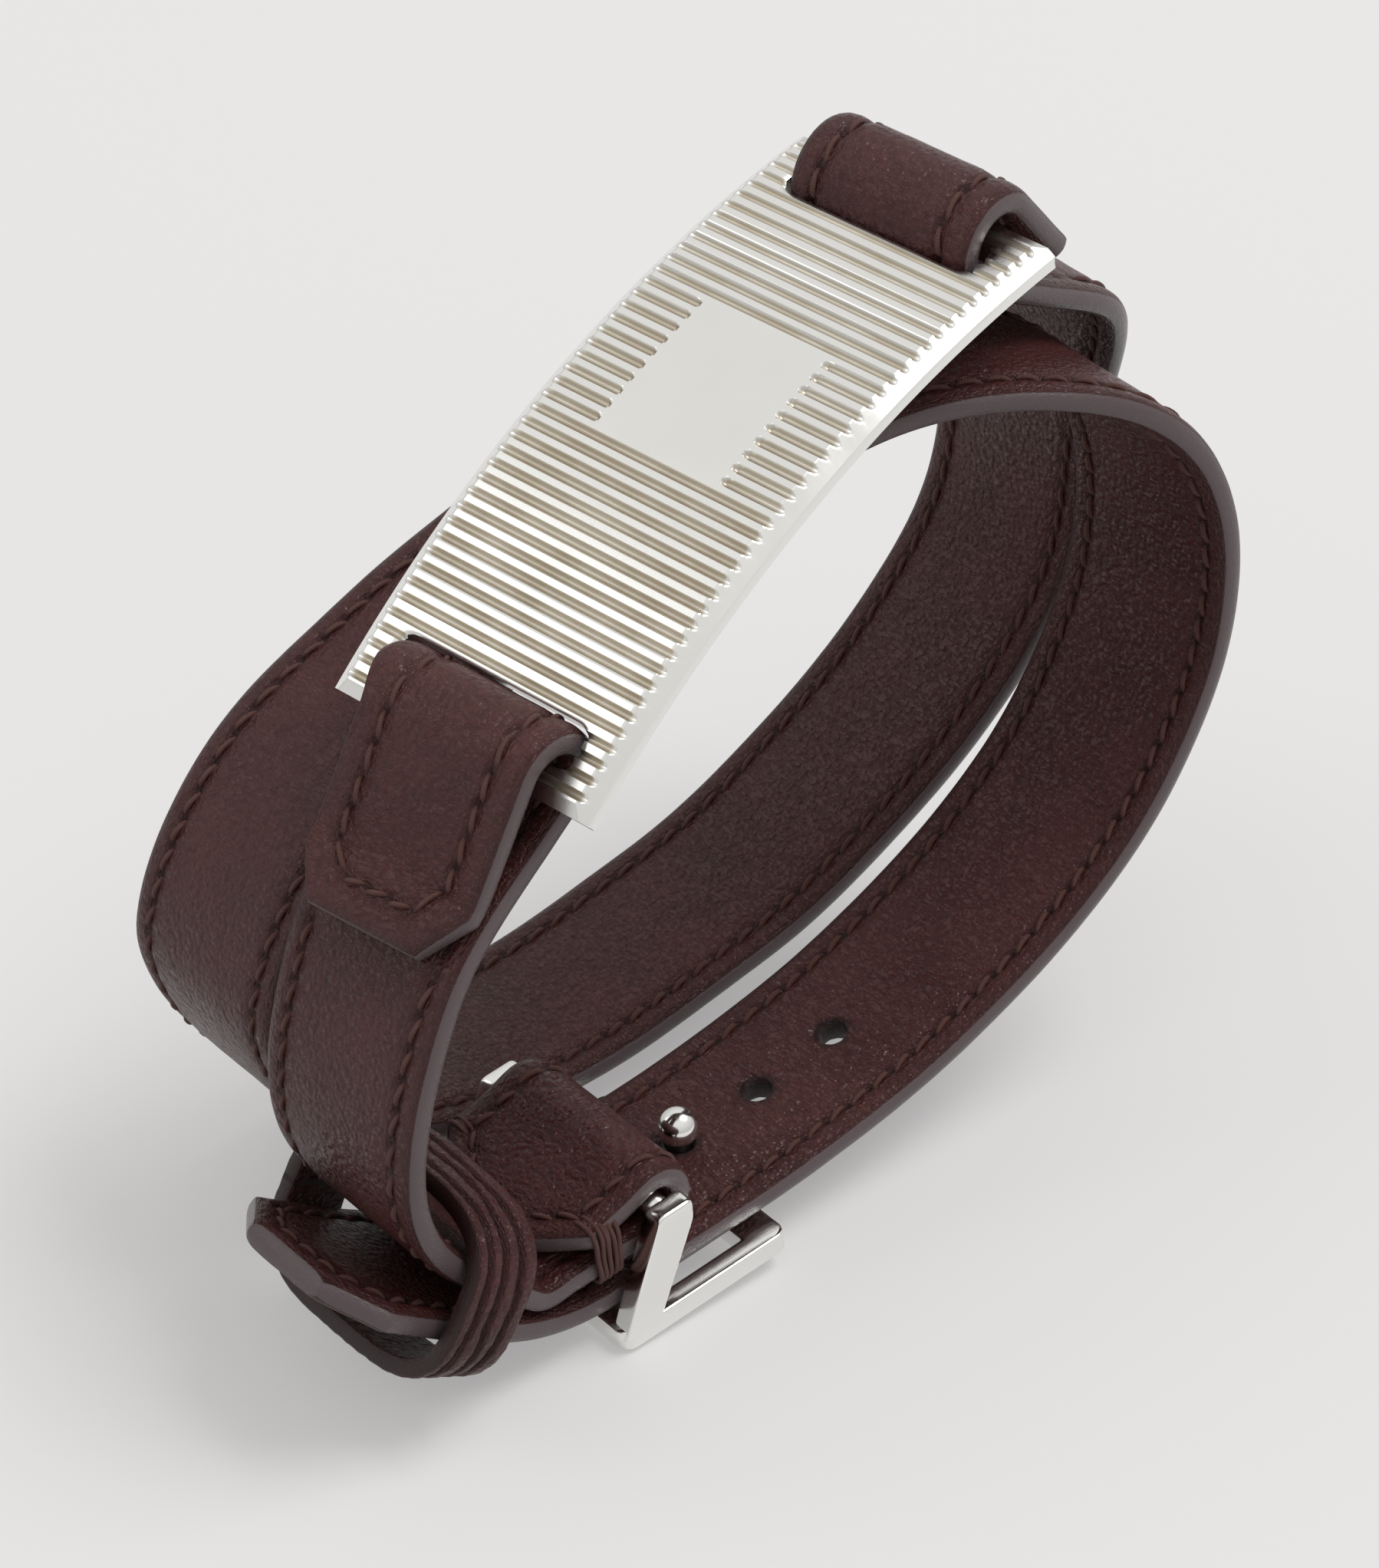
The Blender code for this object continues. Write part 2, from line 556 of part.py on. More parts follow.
def add_prism(bm, place, low, high):
    """One groove cutter: a three-sided cone primitive stretched along Y, point down."""
    slope = GROOVE_WIDTH / 2 / GROOVE_DEPTH
    width = slope * (GROOVE_DEPTH + CUTTER_RISE)
    made = bmesh.ops.create_cone(bm, cap_ends=True, segments=3, radius1=1.0, radius2=1.0, depth=1.0)
    for vert in made["verts"]:
        end = high if vert.co.z > 0 else low
        angle = round(math.degrees(math.atan2(vert.co.y, vert.co.x)))
        if angle in (90, -270):
            vert.co = Vector((place, end, -GROOVE_DEPTH))
        elif vert.co.x > 0:
            vert.co = Vector((place - width, end, CUTTER_RISE))
        else:
            vert.co = Vector((place + width, end, CUTTER_RISE))


def build_plate():
    """Curved plate: a flat slab is bevelled, grooved and slotted, then bent to its curve."""
    silver = make_material("plate_silver", (0.83, 0.82, 0.79), 0.22, 1.0)
    arc = plate_arc_length()
    flat = add_object("plate", box_mesh("plate", (-arc / 2, -PLATE_WIDTH / 2, -PLATE_THICKNESS),
                                        (arc / 2, PLATE_WIDTH / 2, 0.0)), PARTS, silver)
    slope_edges(flat.data)
    grooves = groove_cutters()
    point_out(grooves)
    boolean(flat, "DIFFERENCE", add_cutter("groove_cutter", grooves))
    half = STRAP_WIDTH / 2 + SLOT_CLEARANCE
    for name, side in (("lower_slot", -1), ("upper_slot", 1)):
        ends = sorted((side * (arc / 2 - BAR_WIDTH), side * (arc / 2 - BAR_WIDTH - SLOT_LENGTH)))
        slot = box_mesh(name, (ends[0], -half, -2 * PLATE_THICKNESS), (ends[1], half, PLATE_THICKNESS))
        boolean(flat, "DIFFERENCE", add_cutter(name, slot))
    mesh = apply_modifiers(flat)
    pivot = bar_centre(-1)
    bm = bmesh.new()
    bm.from_mesh(mesh)
    cuts = int(arc / (2 * GROOVE_PITCH))
    for index in range(1, cuts):
        place = -arc / 2 + index * arc / cuts
        everything = bm.verts[:] + bm.edges[:] + bm.faces[:]
        bmesh.ops.bisect_plane(bm, geom=everything, plane_co=(place, 0, 0), plane_no=(1, 0, 0), dist=1e-6)
    bmesh.ops.triangulate(bm, faces=bm.faces)
    for vert in bm.verts:
        vert.co = bend(vert.co) - pivot
    bm.to_mesh(mesh)
    bm.free()
    flat.matrix_world = plate_axes() @ Matrix.Translation(pivot)
    return flat


def slope_edges(mesh):
    """Lower the outermost strip of the top face on both long sides."""
    bm = bmesh.new()
    bm.from_mesh(mesh)
    for side in (-1, 1):
        place = side * (PLATE_WIDTH / 2 - EDGE_BEVEL)
        everything = bm.verts[:] + bm.edges[:] + bm.faces[:]
        bmesh.ops.bisect_plane(bm, geom=everything, plane_co=(0, place, 0), plane_no=(0, 1, 0), dist=1e-6)
    for vert in bm.verts:
        if abs(vert.co.y) > PLATE_WIDTH / 2 - EDGE_BEVEL / 2 and vert.co.z > -PLATE_THICKNESS / 2:
            vert.co.z -= EDGE_DROP
    bm.to_mesh(mesh)
    bm.free()


def point_out(mesh):
    """Turn every face of a mesh outwards."""
    bm = bmesh.new()
    bm.from_mesh(mesh)
    bmesh.ops.recalc_face_normals(bm, faces=bm.faces)
    bm.to_mesh(mesh)
    bm.free()


# --- Buckle ---------------------------------------------------------------------------------------------
def build_buckle():
    """Buckle frame with two arms, its pin, and the ball-headed stud, all on the pin's axis."""
    steel = make_material("buckle_silver", (0.8, 0.79, 0.77), 0.18, 1.0)
    place = buckle_matrix()
    outer = FRAME_INNER + FRAME_SIDE
    ring = [[(-FRAME_BACK, -outer), (FRAME_FRONT, -outer), (FRAME_FRONT, outer), (-FRAME_BACK, outer)],
            [(-FRAME_BACK + FRAME_BACK_BAR, -FRAME_INNER), (FRAME_FRONT - FRAME_FRONT_BAR, -FRAME_INNER),
             (FRAME_FRONT - FRAME_FRONT_BAR, FRAME_INNER), (-FRAME_BACK + FRAME_BACK_BAR, FRAME_INNER)]]
    mesh = outline_mesh("buckle_frame", ring, FRAME_THICKNESS)
    middle = FRAME_TOP - FRAME_THICKNESS / 2
    mesh.transform(Matrix.Translation((0.0, 0.0, middle)))
    frame = add_object("buckle_frame", mesh, PARTS, steel, place)
    head = PIN_RADIUS + PIN_CLEARANCE + ARM_HEAD
    arm = [(-FRAME_BACK, middle), (-FRAME_BACK + ARM_ROOT, middle), (head, -ARM_NOSE * head),
           (ARM_TOP_FRONT * head, head), (-ARM_TOP_BACK * head, head)]
    for name, side in (("arm_near", -1.0), ("arm_far", 1.0)):
        blade = outline_mesh(name, [arm], FRAME_SIDE)
        stand = Matrix.Translation((0.0, side * (FRAME_INNER + FRAME_SIDE / 2), 0.0))
        union = add_cutter(name, blade, place @ stand @ Matrix.Rotation(math.pi / 2, 4, "X"))
        boolean(frame, "UNION", union)
    across = Matrix.Rotation(math.pi / 2, 4, "X")
    seat = cylinder_mesh("pin_seat", PIN_RADIUS + PIN_CLEARANCE, 2 * (FRAME_INNER + PIN_POCKET), 20)
    boolean(frame, "DIFFERENCE", add_cutter("pin_seat", seat, place @ across))
    stud_hole = cylinder_mesh("stud_seat", STUD_RADIUS + STUD_CLEARANCE, 3 * FRAME_THICKNESS, 16)
    boolean(frame, "DIFFERENCE", add_cutter("stud_seat", stud_hole,
                                            place @ Matrix.Translation((STUD_REACH, 0.0, middle))))
    pin = cylinder_mesh("buckle_pin", PIN_RADIUS, 2 * (FRAME_INNER + PIN_POCKET - PIN_END_GAP), 20)
    add_object("buckle_pin", pin, PARTS, steel, place @ across)
    build_stud(steel, place)


def build_stud(steel, place):
    """Turned stud: a post through the frame and the strap, with a ball on the wrist side."""
    ball = TAIL_LEVEL + STRAP_THICKNESS / 2 + BALL_GAP + BALL_RADIUS
    bottom = FRAME_TOP - STUD_SINK * FRAME_THICKNESS
    neck = math.asin(STUD_RADIUS / BALL_RADIUS)
    turns = np.linspace(0.0, math.pi - neck, 9)
    profile = [(BALL_RADIUS * math.sin(a), ball + BALL_RADIUS * math.cos(a)) for a in turns]
    profile += [(STUD_RADIUS, bottom), (0.0, bottom)]
    profile[0] = (0.0, profile[0][1])
    bm = bmesh.new()
    verts = [bm.verts.new((radius, 0.0, height)) for radius, height in profile]
    for vert, following in zip(verts, verts[1:]):
        bm.edges.new((vert, following))
    stud = add_object("stud", finish_mesh("stud", bm), PARTS, steel,
                      place @ Matrix.Translation((STUD_REACH, 0.0, 0.0)))
    spin = stud.modifiers.new("turn", "SCREW")
    spin.steps = 16
    spin.render_steps = 16
    spin.use_merge_vertices = True
    spin.merge_threshold = 0.00001


# --- Keeper ----------------------------------------------------------------------------------------------
def build_keeper():
    """Closed leather band round both straps where the tail leaves the buckle."""
    leather = make_material("keeper_leather", (0.08, 0.034, 0.03), 0.5, 0.0)
    half_y = STRAP_WIDTH / 2 + KEEPER_SIDE_CLEARANCE + KEEPER_THICKNESS / 2
    half_z = KEEPER_RISE + KEEPER_THICKNESS / 2
    power = 2.0 / KEEPER_SQUARENESS
    bm = bmesh.new()
    rings = []
    for index in range(KEEPER_SEGMENTS):
        angle = 2 * math.pi * index / KEEPER_SEGMENTS
        y = half_y * math.copysign(abs(math.cos(angle)) ** power, math.cos(angle))
        z = half_z * math.copysign(abs(math.sin(angle)) ** power, math.sin(angle))
        rings.append([bm.verts.new((x, y, z)) for x in (-KEEPER_WIDTH / 2, KEEPER_WIDTH / 2)])
    for ring, following in zip(rings, rings[1:] + rings[:1]):
        bm.faces.new((ring[0], following[0], following[1], ring[1]))
    place = Matrix.Translation(carried_point(-0.344, 0.148, 0.0)) @ Matrix.Rotation(-KEEPER_SLOPE, 4, "Y")
    band = add_object("keeper_band", finish_mesh("keeper_band", bm), PARTS, leather, place)
    thick = band.modifiers.new("leather", "SOLIDIFY")
    thick.thickness = KEEPER_THICKNESS
    thick.offset = 0.0
    thick.use_even_offset = True


# --- Assembly -----------------------------------------------------------------------------------------------
def centre_on_floor():
    """Hang every part from one empty and move it so that the base's middle is the origin."""
    root = bpy.data.objects.new("bracelet_root", None)
    PARTS.objects.link(root)
    bpy.context.view_layer.update()
    graph = bpy.context.evaluated_depsgraph_get()
    corners = []
    for obj in [item for item in PARTS.objects if item.type == "MESH"]:
        shown = obj.evaluated_get(graph)
        corners += [obj.matrix_world @ vert.co for vert in shown.data.vertices]
    low = Vector([min(corner[axis] for corner in corners) for axis in range(3)])
    high = Vector([max(corner[axis] for corner in corners) for axis in range(3)])
    for obj in [item for item in bpy.data.objects if item != root]:
        obj.parent = root
    root.location = Vector((-(low.x + high.x) / 2, -(low.y + high.y) / 2, -low.z))
    bpy.context.view_layer.update()


def main():
    """Build every part of the bracelet."""
    short, _ = build_straps()
    build_tacks(short)
    build_plate()
    build_buckle()
    build_keeper()
    centre_on_floor()


for old in list(bpy.data.objects):
    bpy.data.objects.remove(old)
PARTS = bpy.data.collections.new("leather_bracelet")
CUTTERS = bpy.data.collections.new("cutters")
for group in (PARTS, CUTTERS):
    bpy.context.scene.collection.children.link(group)
main()
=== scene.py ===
"""Looks of a double-wrap leather bracelet with a ribbed plate, a stud buckle and a keeper.

Every piece is a surface worked out with numpy in millimetres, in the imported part's frame, and
written to its mesh in metres. A strap point is given by s, the distance along the strap, t, the
distance across it, and h, the height above its middle sheet.
"""

import logging
import math
from dataclasses import dataclass, field
from enum import Enum
from typing import Callable

import bpy
import numpy as np
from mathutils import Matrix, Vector

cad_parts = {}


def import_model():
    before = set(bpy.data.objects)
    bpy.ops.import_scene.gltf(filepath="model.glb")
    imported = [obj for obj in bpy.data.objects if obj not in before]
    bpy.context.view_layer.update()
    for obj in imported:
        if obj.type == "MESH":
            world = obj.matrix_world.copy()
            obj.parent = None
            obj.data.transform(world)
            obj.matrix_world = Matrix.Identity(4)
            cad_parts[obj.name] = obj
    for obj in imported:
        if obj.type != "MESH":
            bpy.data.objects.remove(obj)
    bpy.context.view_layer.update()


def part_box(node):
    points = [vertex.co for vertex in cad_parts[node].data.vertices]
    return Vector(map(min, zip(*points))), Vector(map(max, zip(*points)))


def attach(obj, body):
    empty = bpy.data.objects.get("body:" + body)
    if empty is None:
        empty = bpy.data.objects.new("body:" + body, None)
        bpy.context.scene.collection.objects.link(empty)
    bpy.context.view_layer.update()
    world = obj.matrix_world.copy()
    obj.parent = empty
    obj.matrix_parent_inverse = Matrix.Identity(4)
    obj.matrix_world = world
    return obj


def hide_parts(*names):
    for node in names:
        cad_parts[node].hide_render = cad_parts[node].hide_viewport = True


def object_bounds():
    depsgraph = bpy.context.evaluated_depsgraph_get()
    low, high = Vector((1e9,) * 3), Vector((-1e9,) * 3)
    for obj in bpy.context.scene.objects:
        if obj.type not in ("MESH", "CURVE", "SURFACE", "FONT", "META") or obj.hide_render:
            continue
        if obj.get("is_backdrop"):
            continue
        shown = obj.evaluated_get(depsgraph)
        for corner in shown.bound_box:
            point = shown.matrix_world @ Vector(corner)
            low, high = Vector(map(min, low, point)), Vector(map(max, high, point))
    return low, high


LOG = logging.getLogger("bracelet")
METRE = 0.001
Array = np.ndarray


# --- Small maths ---------------------------------------------------------------------------------
def unit(vectors: Array) -> Array:
    """Vectors divided by their lengths."""
    return vectors / np.maximum(np.linalg.norm(vectors, axis=-1, keepdims=True), 1e-12)


def smooth(low: float, high: float, value: Array) -> Array:
    """Smooth step 3x^2 - 2x^3 of a value between two limits."""
    x = np.clip((value - low) / (high - low), 0.0, 1.0)
    return x * x * (3.0 - 2.0 * x)


def wavy(seed: int, where: Array, size: float) -> Array:
    """Smooth repeatable noise from -1 to 1 along a line: three sines of unrelated lengths.

    Args:
        seed: Number that fixes where each wave starts.
        where: Distances along the line.
        size: Distance over which the slowest wave turns by one radian.

    Returns:
        The noise at each distance.
    """
    phase = np.random.default_rng(seed).uniform(0.0, 2.0 * math.pi, 3)
    waves = [np.sin(where / size * rate + turn) for rate, turn in zip((1.0, 2.17, 4.61), phase)]
    return (waves[0] + 0.6 * waves[1] + 0.35 * waves[2]) / 1.95


def catmull_rom(points: Array, steps: int = 24) -> Array:
    """Centripetal Catmull-Rom curve through points, by the pyramid of linear blends.

    Args:
        points: Points that the curve passes through.
        steps: Curve points to each span.

    Returns:
        The curve's points, ending on the last given one.
    """
    ends = np.vstack([2 * points[0] - points[1], points, 2 * points[-1] - points[-2]])
    spans = np.sqrt(np.linalg.norm(np.diff(ends, axis=0), axis=1))
    share = np.linspace(0.0, 1.0, steps, endpoint=False)[:, None]
    curve = []
    for k in range(len(points) - 1):
        p0, p1, p2, p3 = ends[k:k + 4]
        t1, t2, t3 = np.cumsum(spans[k:k + 3])
        t = t1 + (t2 - t1) * share
        a1 = p0 * (t1 - t) / t1 + p1 * t / t1
        a2 = p1 * (t2 - t) / (t2 - t1) + p2 * (t - t1) / (t2 - t1)
        a3 = p2 * (t3 - t) / (t3 - t2) + p3 * (t - t2) / (t3 - t2)
        b1 = a1 * (t2 - t) / t2 + a2 * t / t2
        b2 = a2 * (t3 - t) / (t3 - t1) + a3 * (t - t1) / (t3 - t1)
        curve.append(b1 * (t2 - t) / (t2 - t1) + b2 * (t - t1) / (t2 - t1))
    return np.vstack(curve + [points[-1:]])


def arc_lengths(points: Array) -> Array:
    """Distance along a polyline at each of its points."""
    return np.concatenate([[0.0], np.cumsum(np.linalg.norm(np.diff(points, axis=0), axis=1))])


def resample(points: Array, step: float) -> Array:
    """Points at an even distance along a polyline.

    Args:
        points: The polyline's points.
        step: Wanted distance between the new points.

    Returns:
        The new points, with both ends kept.
    """
    reach = arc_lengths(points)
    even = np.linspace(0.0, reach[-1], max(2, int(round(reach[-1] / step)) + 1))
    return np.stack([np.interp(even, reach, column) for column in points.T], axis=1)


def blurred(points: Array, width: float) -> Array:
    """Evenly spaced points averaged with a Gaussian of a width in samples; the ends stay.

    Args:
        points: Evenly spaced points.
        width: Width of the Gaussian, in samples.

    Returns:
        The averaged points, as many as came in.
    """
    reach = int(3 * width) + 1
    weights = np.exp(-0.5 * (np.arange(-reach, reach + 1) / width) ** 2)
    weights /= weights.sum()
    before = 2 * points[0] - points[reach:0:-1]
    after = 2 * points[-1] - points[-2:-reach - 2:-1]
    padded = np.vstack([before, points, after])
    return np.stack([np.convolve(column, weights, "valid") for column in padded.T], axis=1)


# --- Meshes --------------------------------------------------------------------------------------
def make_piece(name: str, points: Array, faces: list, body: str,
               marks: dict[str, Array] | None = None,
               sharp: float | None = None) -> bpy.types.Object:
    """Mesh object from points in millimetres.

    Args:
        name: Object name.
        points: Vertex places, N by 3.
        faces: Lists or arrays of vertex numbers.
        body: CAD body that the piece rides on.
        marks: Values kept on the vertices: N for a number, N by 3 for a vector.
        sharp: Angle in degrees past which an edge is shaded sharp, or None for smooth all over.

    Returns:
        The new object, at the origin.
    """
    mesh = bpy.data.meshes.new(name)
    listed = [part for block in faces for part in np.asarray(block).tolist()]
    mesh.from_pydata((points * METRE).tolist(), [], listed)
    for label, values in (marks or {}).items():
        kind = "FLOAT" if values.ndim == 1 else "FLOAT_VECTOR"
        layer = mesh.attributes.new(label, kind, "POINT")
        layer.data.foreach_set("value" if values.ndim == 1 else "vector",
                               np.ascontiguousarray(values, float).ravel())
    mesh.validate()
    mesh.update()
    mesh.shade_smooth()
    if sharp is not None:
        mesh.set_sharp_from_angle(angle=math.radians(sharp))
    piece = bpy.data.objects.new(name, mesh)
    bpy.context.scene.collection.objects.link(piece)
    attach(piece, body)
    LOG.info("%s: %d faces on %s", name, len(mesh.polygons), body)
    return piece


def cell_centres(grid: Array) -> Array:
    """Mean of the four corners of every cell of a grid."""
    return (grid[:-1, :-1] + grid[1:, :-1] + grid[:-1, 1:] + grid[1:, 1:]) / 4


def punch(s: Array, t: Array, keep: Array, inside: Callable[[Array, Array], Array]) -> None:
    """Cut a hole in a parameter grid and pull the rim onto the hole's outline.

    The outline is where inside(s, t), a signed distance that is negative in the hole, is zero. A
    rim point moves by minus its distance along the distance's gradient.

    Args:
        s: Grid of distances along, changed in place.
        t: Grid of distances across, changed in place.
        keep: Which cells stay, changed in place.
        inside: Signed distance to the outline.
    """
    cut = inside(cell_centres(s), cell_centres(t)) < 0
    cut &= keep
    keep &= ~cut
    touched = np.zeros(s.shape, bool)
    kept = np.zeros(s.shape, bool)
    for rows in (slice(None, -1), slice(1, None)):
        for cols in (slice(None, -1), slice(1, None)):
            touched[rows, cols] |= cut
            kept[rows, cols] |= keep
    rim = touched & kept
    for _ in range(3):
        away = inside(s[rim], t[rim])
        ds = (inside(s[rim] + 1e-4, t[rim]) - away) / 1e-4
        dt = (inside(s[rim], t[rim] + 1e-4) - away) / 1e-4
        size = np.maximum(ds * ds + dt * dt, 1e-6)
        s[rim] -= away * ds / size
        t[rim] -= away * dt / size


def shell(top: Array, bottom: Array, keep: Array, bulge: float,
          rings: int) -> tuple[Array, list, Array, Array]:
    """Closed skin of two matching sheets, with a rounded wall along every open edge.

    A wall point at share w of the way down is top + w (bottom - top) + bulge sin(pi w) out, where
    out is the in-sheet direction away from the material.

    Args:
        top: Upper sheet's points, rows by columns by 3.
        bottom: Lower sheet's points, the same size.
        keep: Which cells are there.
        bulge: How far the wall stands out at its middle.
        rings: Number of wall points between the sheets.

    Returns:
        Points, face blocks, the grid number behind every point, and 1 for wall points, else 0.
    """
    rows, cols = top.shape[:2]
    number = np.arange(rows * cols).reshape(rows, cols)
    quads = np.stack([number[:-1, :-1], number[:-1, 1:], number[1:, 1:],
                      number[1:, :-1]], -1)[keep]
    count = rows * cols
    edges = np.concatenate([quads[:, [k, (k + 1) % 4]] for k in range(4)])
    keys = edges[:, 0] * count + edges[:, 1]
    back = edges[:, 1] * count + edges[:, 0]
    rim = edges[~np.isin(keys, back)]
    flat_top, flat_bottom = top.reshape(-1, 3), bottom.reshape(-1, 3)
    normal = unit(flat_top - flat_bottom)
    out = np.zeros_like(flat_top)
    side = np.cross(flat_top[rim[:, 1]] - flat_top[rim[:, 0]], normal[rim[:, 0]])
    np.add.at(out, rim[:, 0], unit(side))
    np.add.at(out, rim[:, 1], unit(side))
    used = np.unique(rim)
    out[used] = unit(out[used])
    levels = np.arange(1, rings + 1) / (rings + 1)
    walls = [flat_top[used] + w * (flat_bottom[used] - flat_top[used])
             + bulge * math.sin(math.pi * w) * out[used] for w in levels]
    points = np.vstack([flat_top, flat_bottom] + walls)
    place = np.zeros(count, int)
    place[used] = np.arange(len(used))
    stack = [rim] + [2 * count + k * len(used) + place[rim] for k in range(rings)] + [rim + count]
    faces = [quads, quads[:, ::-1] + count]
    faces += [np.stack([a[:, 1], a[:, 0], b[:, 0], b[:, 1]], -1) for a, b in zip(stack, stack[1:])]
    source = np.concatenate([np.arange(count), np.arange(count)] + [used] * rings)
    wall = np.concatenate([np.zeros(2 * count), np.ones(rings * len(used))])
    rim_numbers = np.concatenate([used, used + count])
    wall[rim_numbers] = 0.6
    live = np.unique(np.concatenate([block.ravel() for block in faces]))
    renumber = np.full(len(points), -1)
    renumber[live] = np.arange(len(live))
    return points[live], [renumber[block] for block in faces], source[live], wall[live]


def tubes(paths: Array, side: Array, radius: Array, sides: int = 6) -> tuple[Array, list, Array]:
    """Many round threads at once: a circle r (cos a B + sin a M) carried along each path.

    Args:
        paths: Threads by points by 3.
        side: A direction for each point, roughly square to its path.
        radius: Threads by points.
        sides: Points round the circle.

    Returns:
        Points, face blocks, and the distance of every point along its thread.
    """
    many, long = paths.shape[:2]
    tangent = unit(np.gradient(paths, axis=1))
    first = unit(np.cross(tangent, side))
    second = np.cross(first, tangent)
    angle = np.arange(sides) * 2 * math.pi / sides
    ring = first[:, :, None] * np.cos(angle)[:, None] + second[:, :, None] * np.sin(angle)[:, None]
    points = paths[:, :, None] + radius[:, :, None, None] * ring
    number = np.arange(many * long * sides).reshape(many, long, sides)
    after = np.roll(number, -1, axis=2)
    quads = np.stack([number[:, :-1], after[:, :-1], after[:, 1:], number[:, 1:]], -1)
    quads = quads.reshape(-1, 4)
    caps = [number[:, 0, ::-1].reshape(-1, sides), number[:, -1].reshape(-1, sides)]
    run = np.cumsum(np.linalg.norm(np.diff(paths, axis=1, prepend=paths[:, :1]), axis=2), axis=1)
    return points.reshape(-1, 3), [quads] + caps, np.repeat(run.reshape(-1), sides)


def loft(rings: Array, close_rows: bool = False, cap: bool = True) -> list:
    """Faces of a grid of points whose rows are closed rings.

    Args:
        rings: Rows by points by 3.
        close_rows: True if the last row joins the first.
        cap: True to fill the first and last ring.

    Returns:
        Face blocks.
    """
    rows, cols = rings.shape[:2]
    number = np.arange(rows * cols).reshape(rows, cols)
    after = np.roll(number, -1, axis=1)
    if close_rows:
        below, below_after = np.roll(number, -1, axis=0), np.roll(after, -1, axis=0)
        return [np.stack([number, after, below_after, below], -1).reshape(-1, 4)]
    quads = np.stack([number[:-1], after[:-1], after[1:], number[1:]], -1).reshape(-1, 4)
    return [quads] + ([number[:1, ::-1], number[-1:]] if cap else [])


# --- Where everything is -------------------------------------------------------------------------
@dataclass
class Layout:
    """The wrapped bracelet's own measures, in millimetres, and the places that follow from them."""

    loop_width: float = 65.0
    loop_height: float = 48.0
    strap_width: float = 13.0
    strap_thickness: float = 1.8
    lane_pitch: float = 15.4
    lower_tab: float = 12.8
    upper_tab: float = 10.8
    fold_length: float = 9.5
    tab_gap: float = 0.3
    tip_chamfer: float = 3.0
    tip_share: float = 0.5
    pinch: float = 7.6
    neck: float = 3.4
    neck_share: float = 0.72
    lower_leave: float = 229.0
    upper_leave: float = -40.0
    plate_length: float = 44.0
    plate_width: float = 19.2
    plate_thickness: float = 1.7
    plate_sag: float = 3.4
    plate_slope: float = 24.0
    plate_yaw: float = 8.3
    bar_width: float = 2.0
    bar_clearance: float = 0.5
    pin_radius: float = 0.75
    pin_clearance: float = 0.3
    tail_gap: float = 1.3
    buckle_tilt: float = 5.0
    stud_reach: float = 6.9
    hole_pitch: float = 6.2
    hole_count: int = 3
    shift: Array = field(default_factory=lambda: np.zeros(3))

    def __post_init__(self) -> None:
        """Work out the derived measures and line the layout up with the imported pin."""
        self.fold_pitch = self.strap_thickness + self.tab_gap
        self.pin_fold = self.pin_radius + self.pin_clearance + self.strap_thickness / 2
        self.bar_fold_radius = (math.hypot(self.bar_width, self.plate_thickness) / 2
                                + self.bar_clearance + self.strap_thickness / 2)
        self.tail_level = -self.pin_fold - self.strap_thickness - self.tail_gap
        yaw, slope, tilt = (math.radians(a)
                            for a in (self.plate_yaw, self.plate_slope, self.buckle_tilt))
        self.level = np.array([math.cos(yaw), math.sin(yaw), 0.0])
        self.plate_u = np.array([math.cos(yaw) * math.cos(slope), math.sin(yaw) * math.cos(slope),
                                 math.sin(slope)])
        self.plate_w = np.array([-math.sin(yaw), math.cos(yaw), 0.0])
        self.plate_n = np.cross(self.plate_u, self.plate_w)
        self.buckle_x = np.array([math.cos(tilt), 0.0, math.sin(tilt)])
        self.buckle_z = np.array([-math.sin(tilt), 0.0, math.cos(tilt)])
        self.pin = self.loop_point(-0.132, 0.135, 0.0)
        self.plate_centre = self.loop_point(0.065, 0.981, 0.346)
        self.plate_radius = (self.plate_length / 2) ** 2 / (2
                                                            * self.plate_sag) + self.plate_sag / 2
        self.plate_arc = 2 * self.plate_radius * math.asin(self.plate_length / 2
                                                           / self.plate_radius)
        low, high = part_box("buckle_pin")
        self.shift = np.array((low + high) / 2) / METRE - self.pin

    def loop_point(self, across: float, up: float, lane: float) -> Array:
        """Middle of a strap, across and up as shares of the loop, lane 0 near and 1 far."""
        return np.array([across * self.loop_width, lane * self.lane_pitch, up * self.loop_height])

    def on_buckle(self, x: Array | float, y: Array | float, z: Array | float) -> Array:
        """Points given in the buckle's axes: x towards the stud, z towards the wrist.

        Args:
            x: Distance from the pin towards the stud.
            y: Distance across the strap.
            z: Height above the pin, towards the wrist.

        Returns:
            Points in the bracelet's own axes.
        """
        x, y, z = np.broadcast_arrays(x, y, z)
        return (self.pin + x[..., None] * self.buckle_x + y[..., None] * np.array([0.0, 1.0, 0.0])
                + z[..., None] * self.buckle_z)

    def on_plate(self, x: Array | float, y: Array | float, z: Array | float) -> Array:
        """Points of the bent plate: x along its top face, y across, z above it.

        The flat plate is rolled onto a circle: reach = radius + z at the angle x / radius.

        Args:
            x: Distance along the flat plate's top face.
            y: Distance across the plate.
            z: Height above its top face.

        Returns:
            Points in the bracelet's own axes.
        """
        x, y, z = np.broadcast_arrays(x, y, z)
        angle, reach = x / self.plate_radius, self.plate_radius + z
        along = reach * np.sin(angle)
        rise = reach * np.cos(angle) - self.plate_radius + self.plate_sag
        return (self.plate_centre + along[..., None] * self.plate_u + y[..., None] * self.plate_w
                + rise[..., None] * self.plate_n)

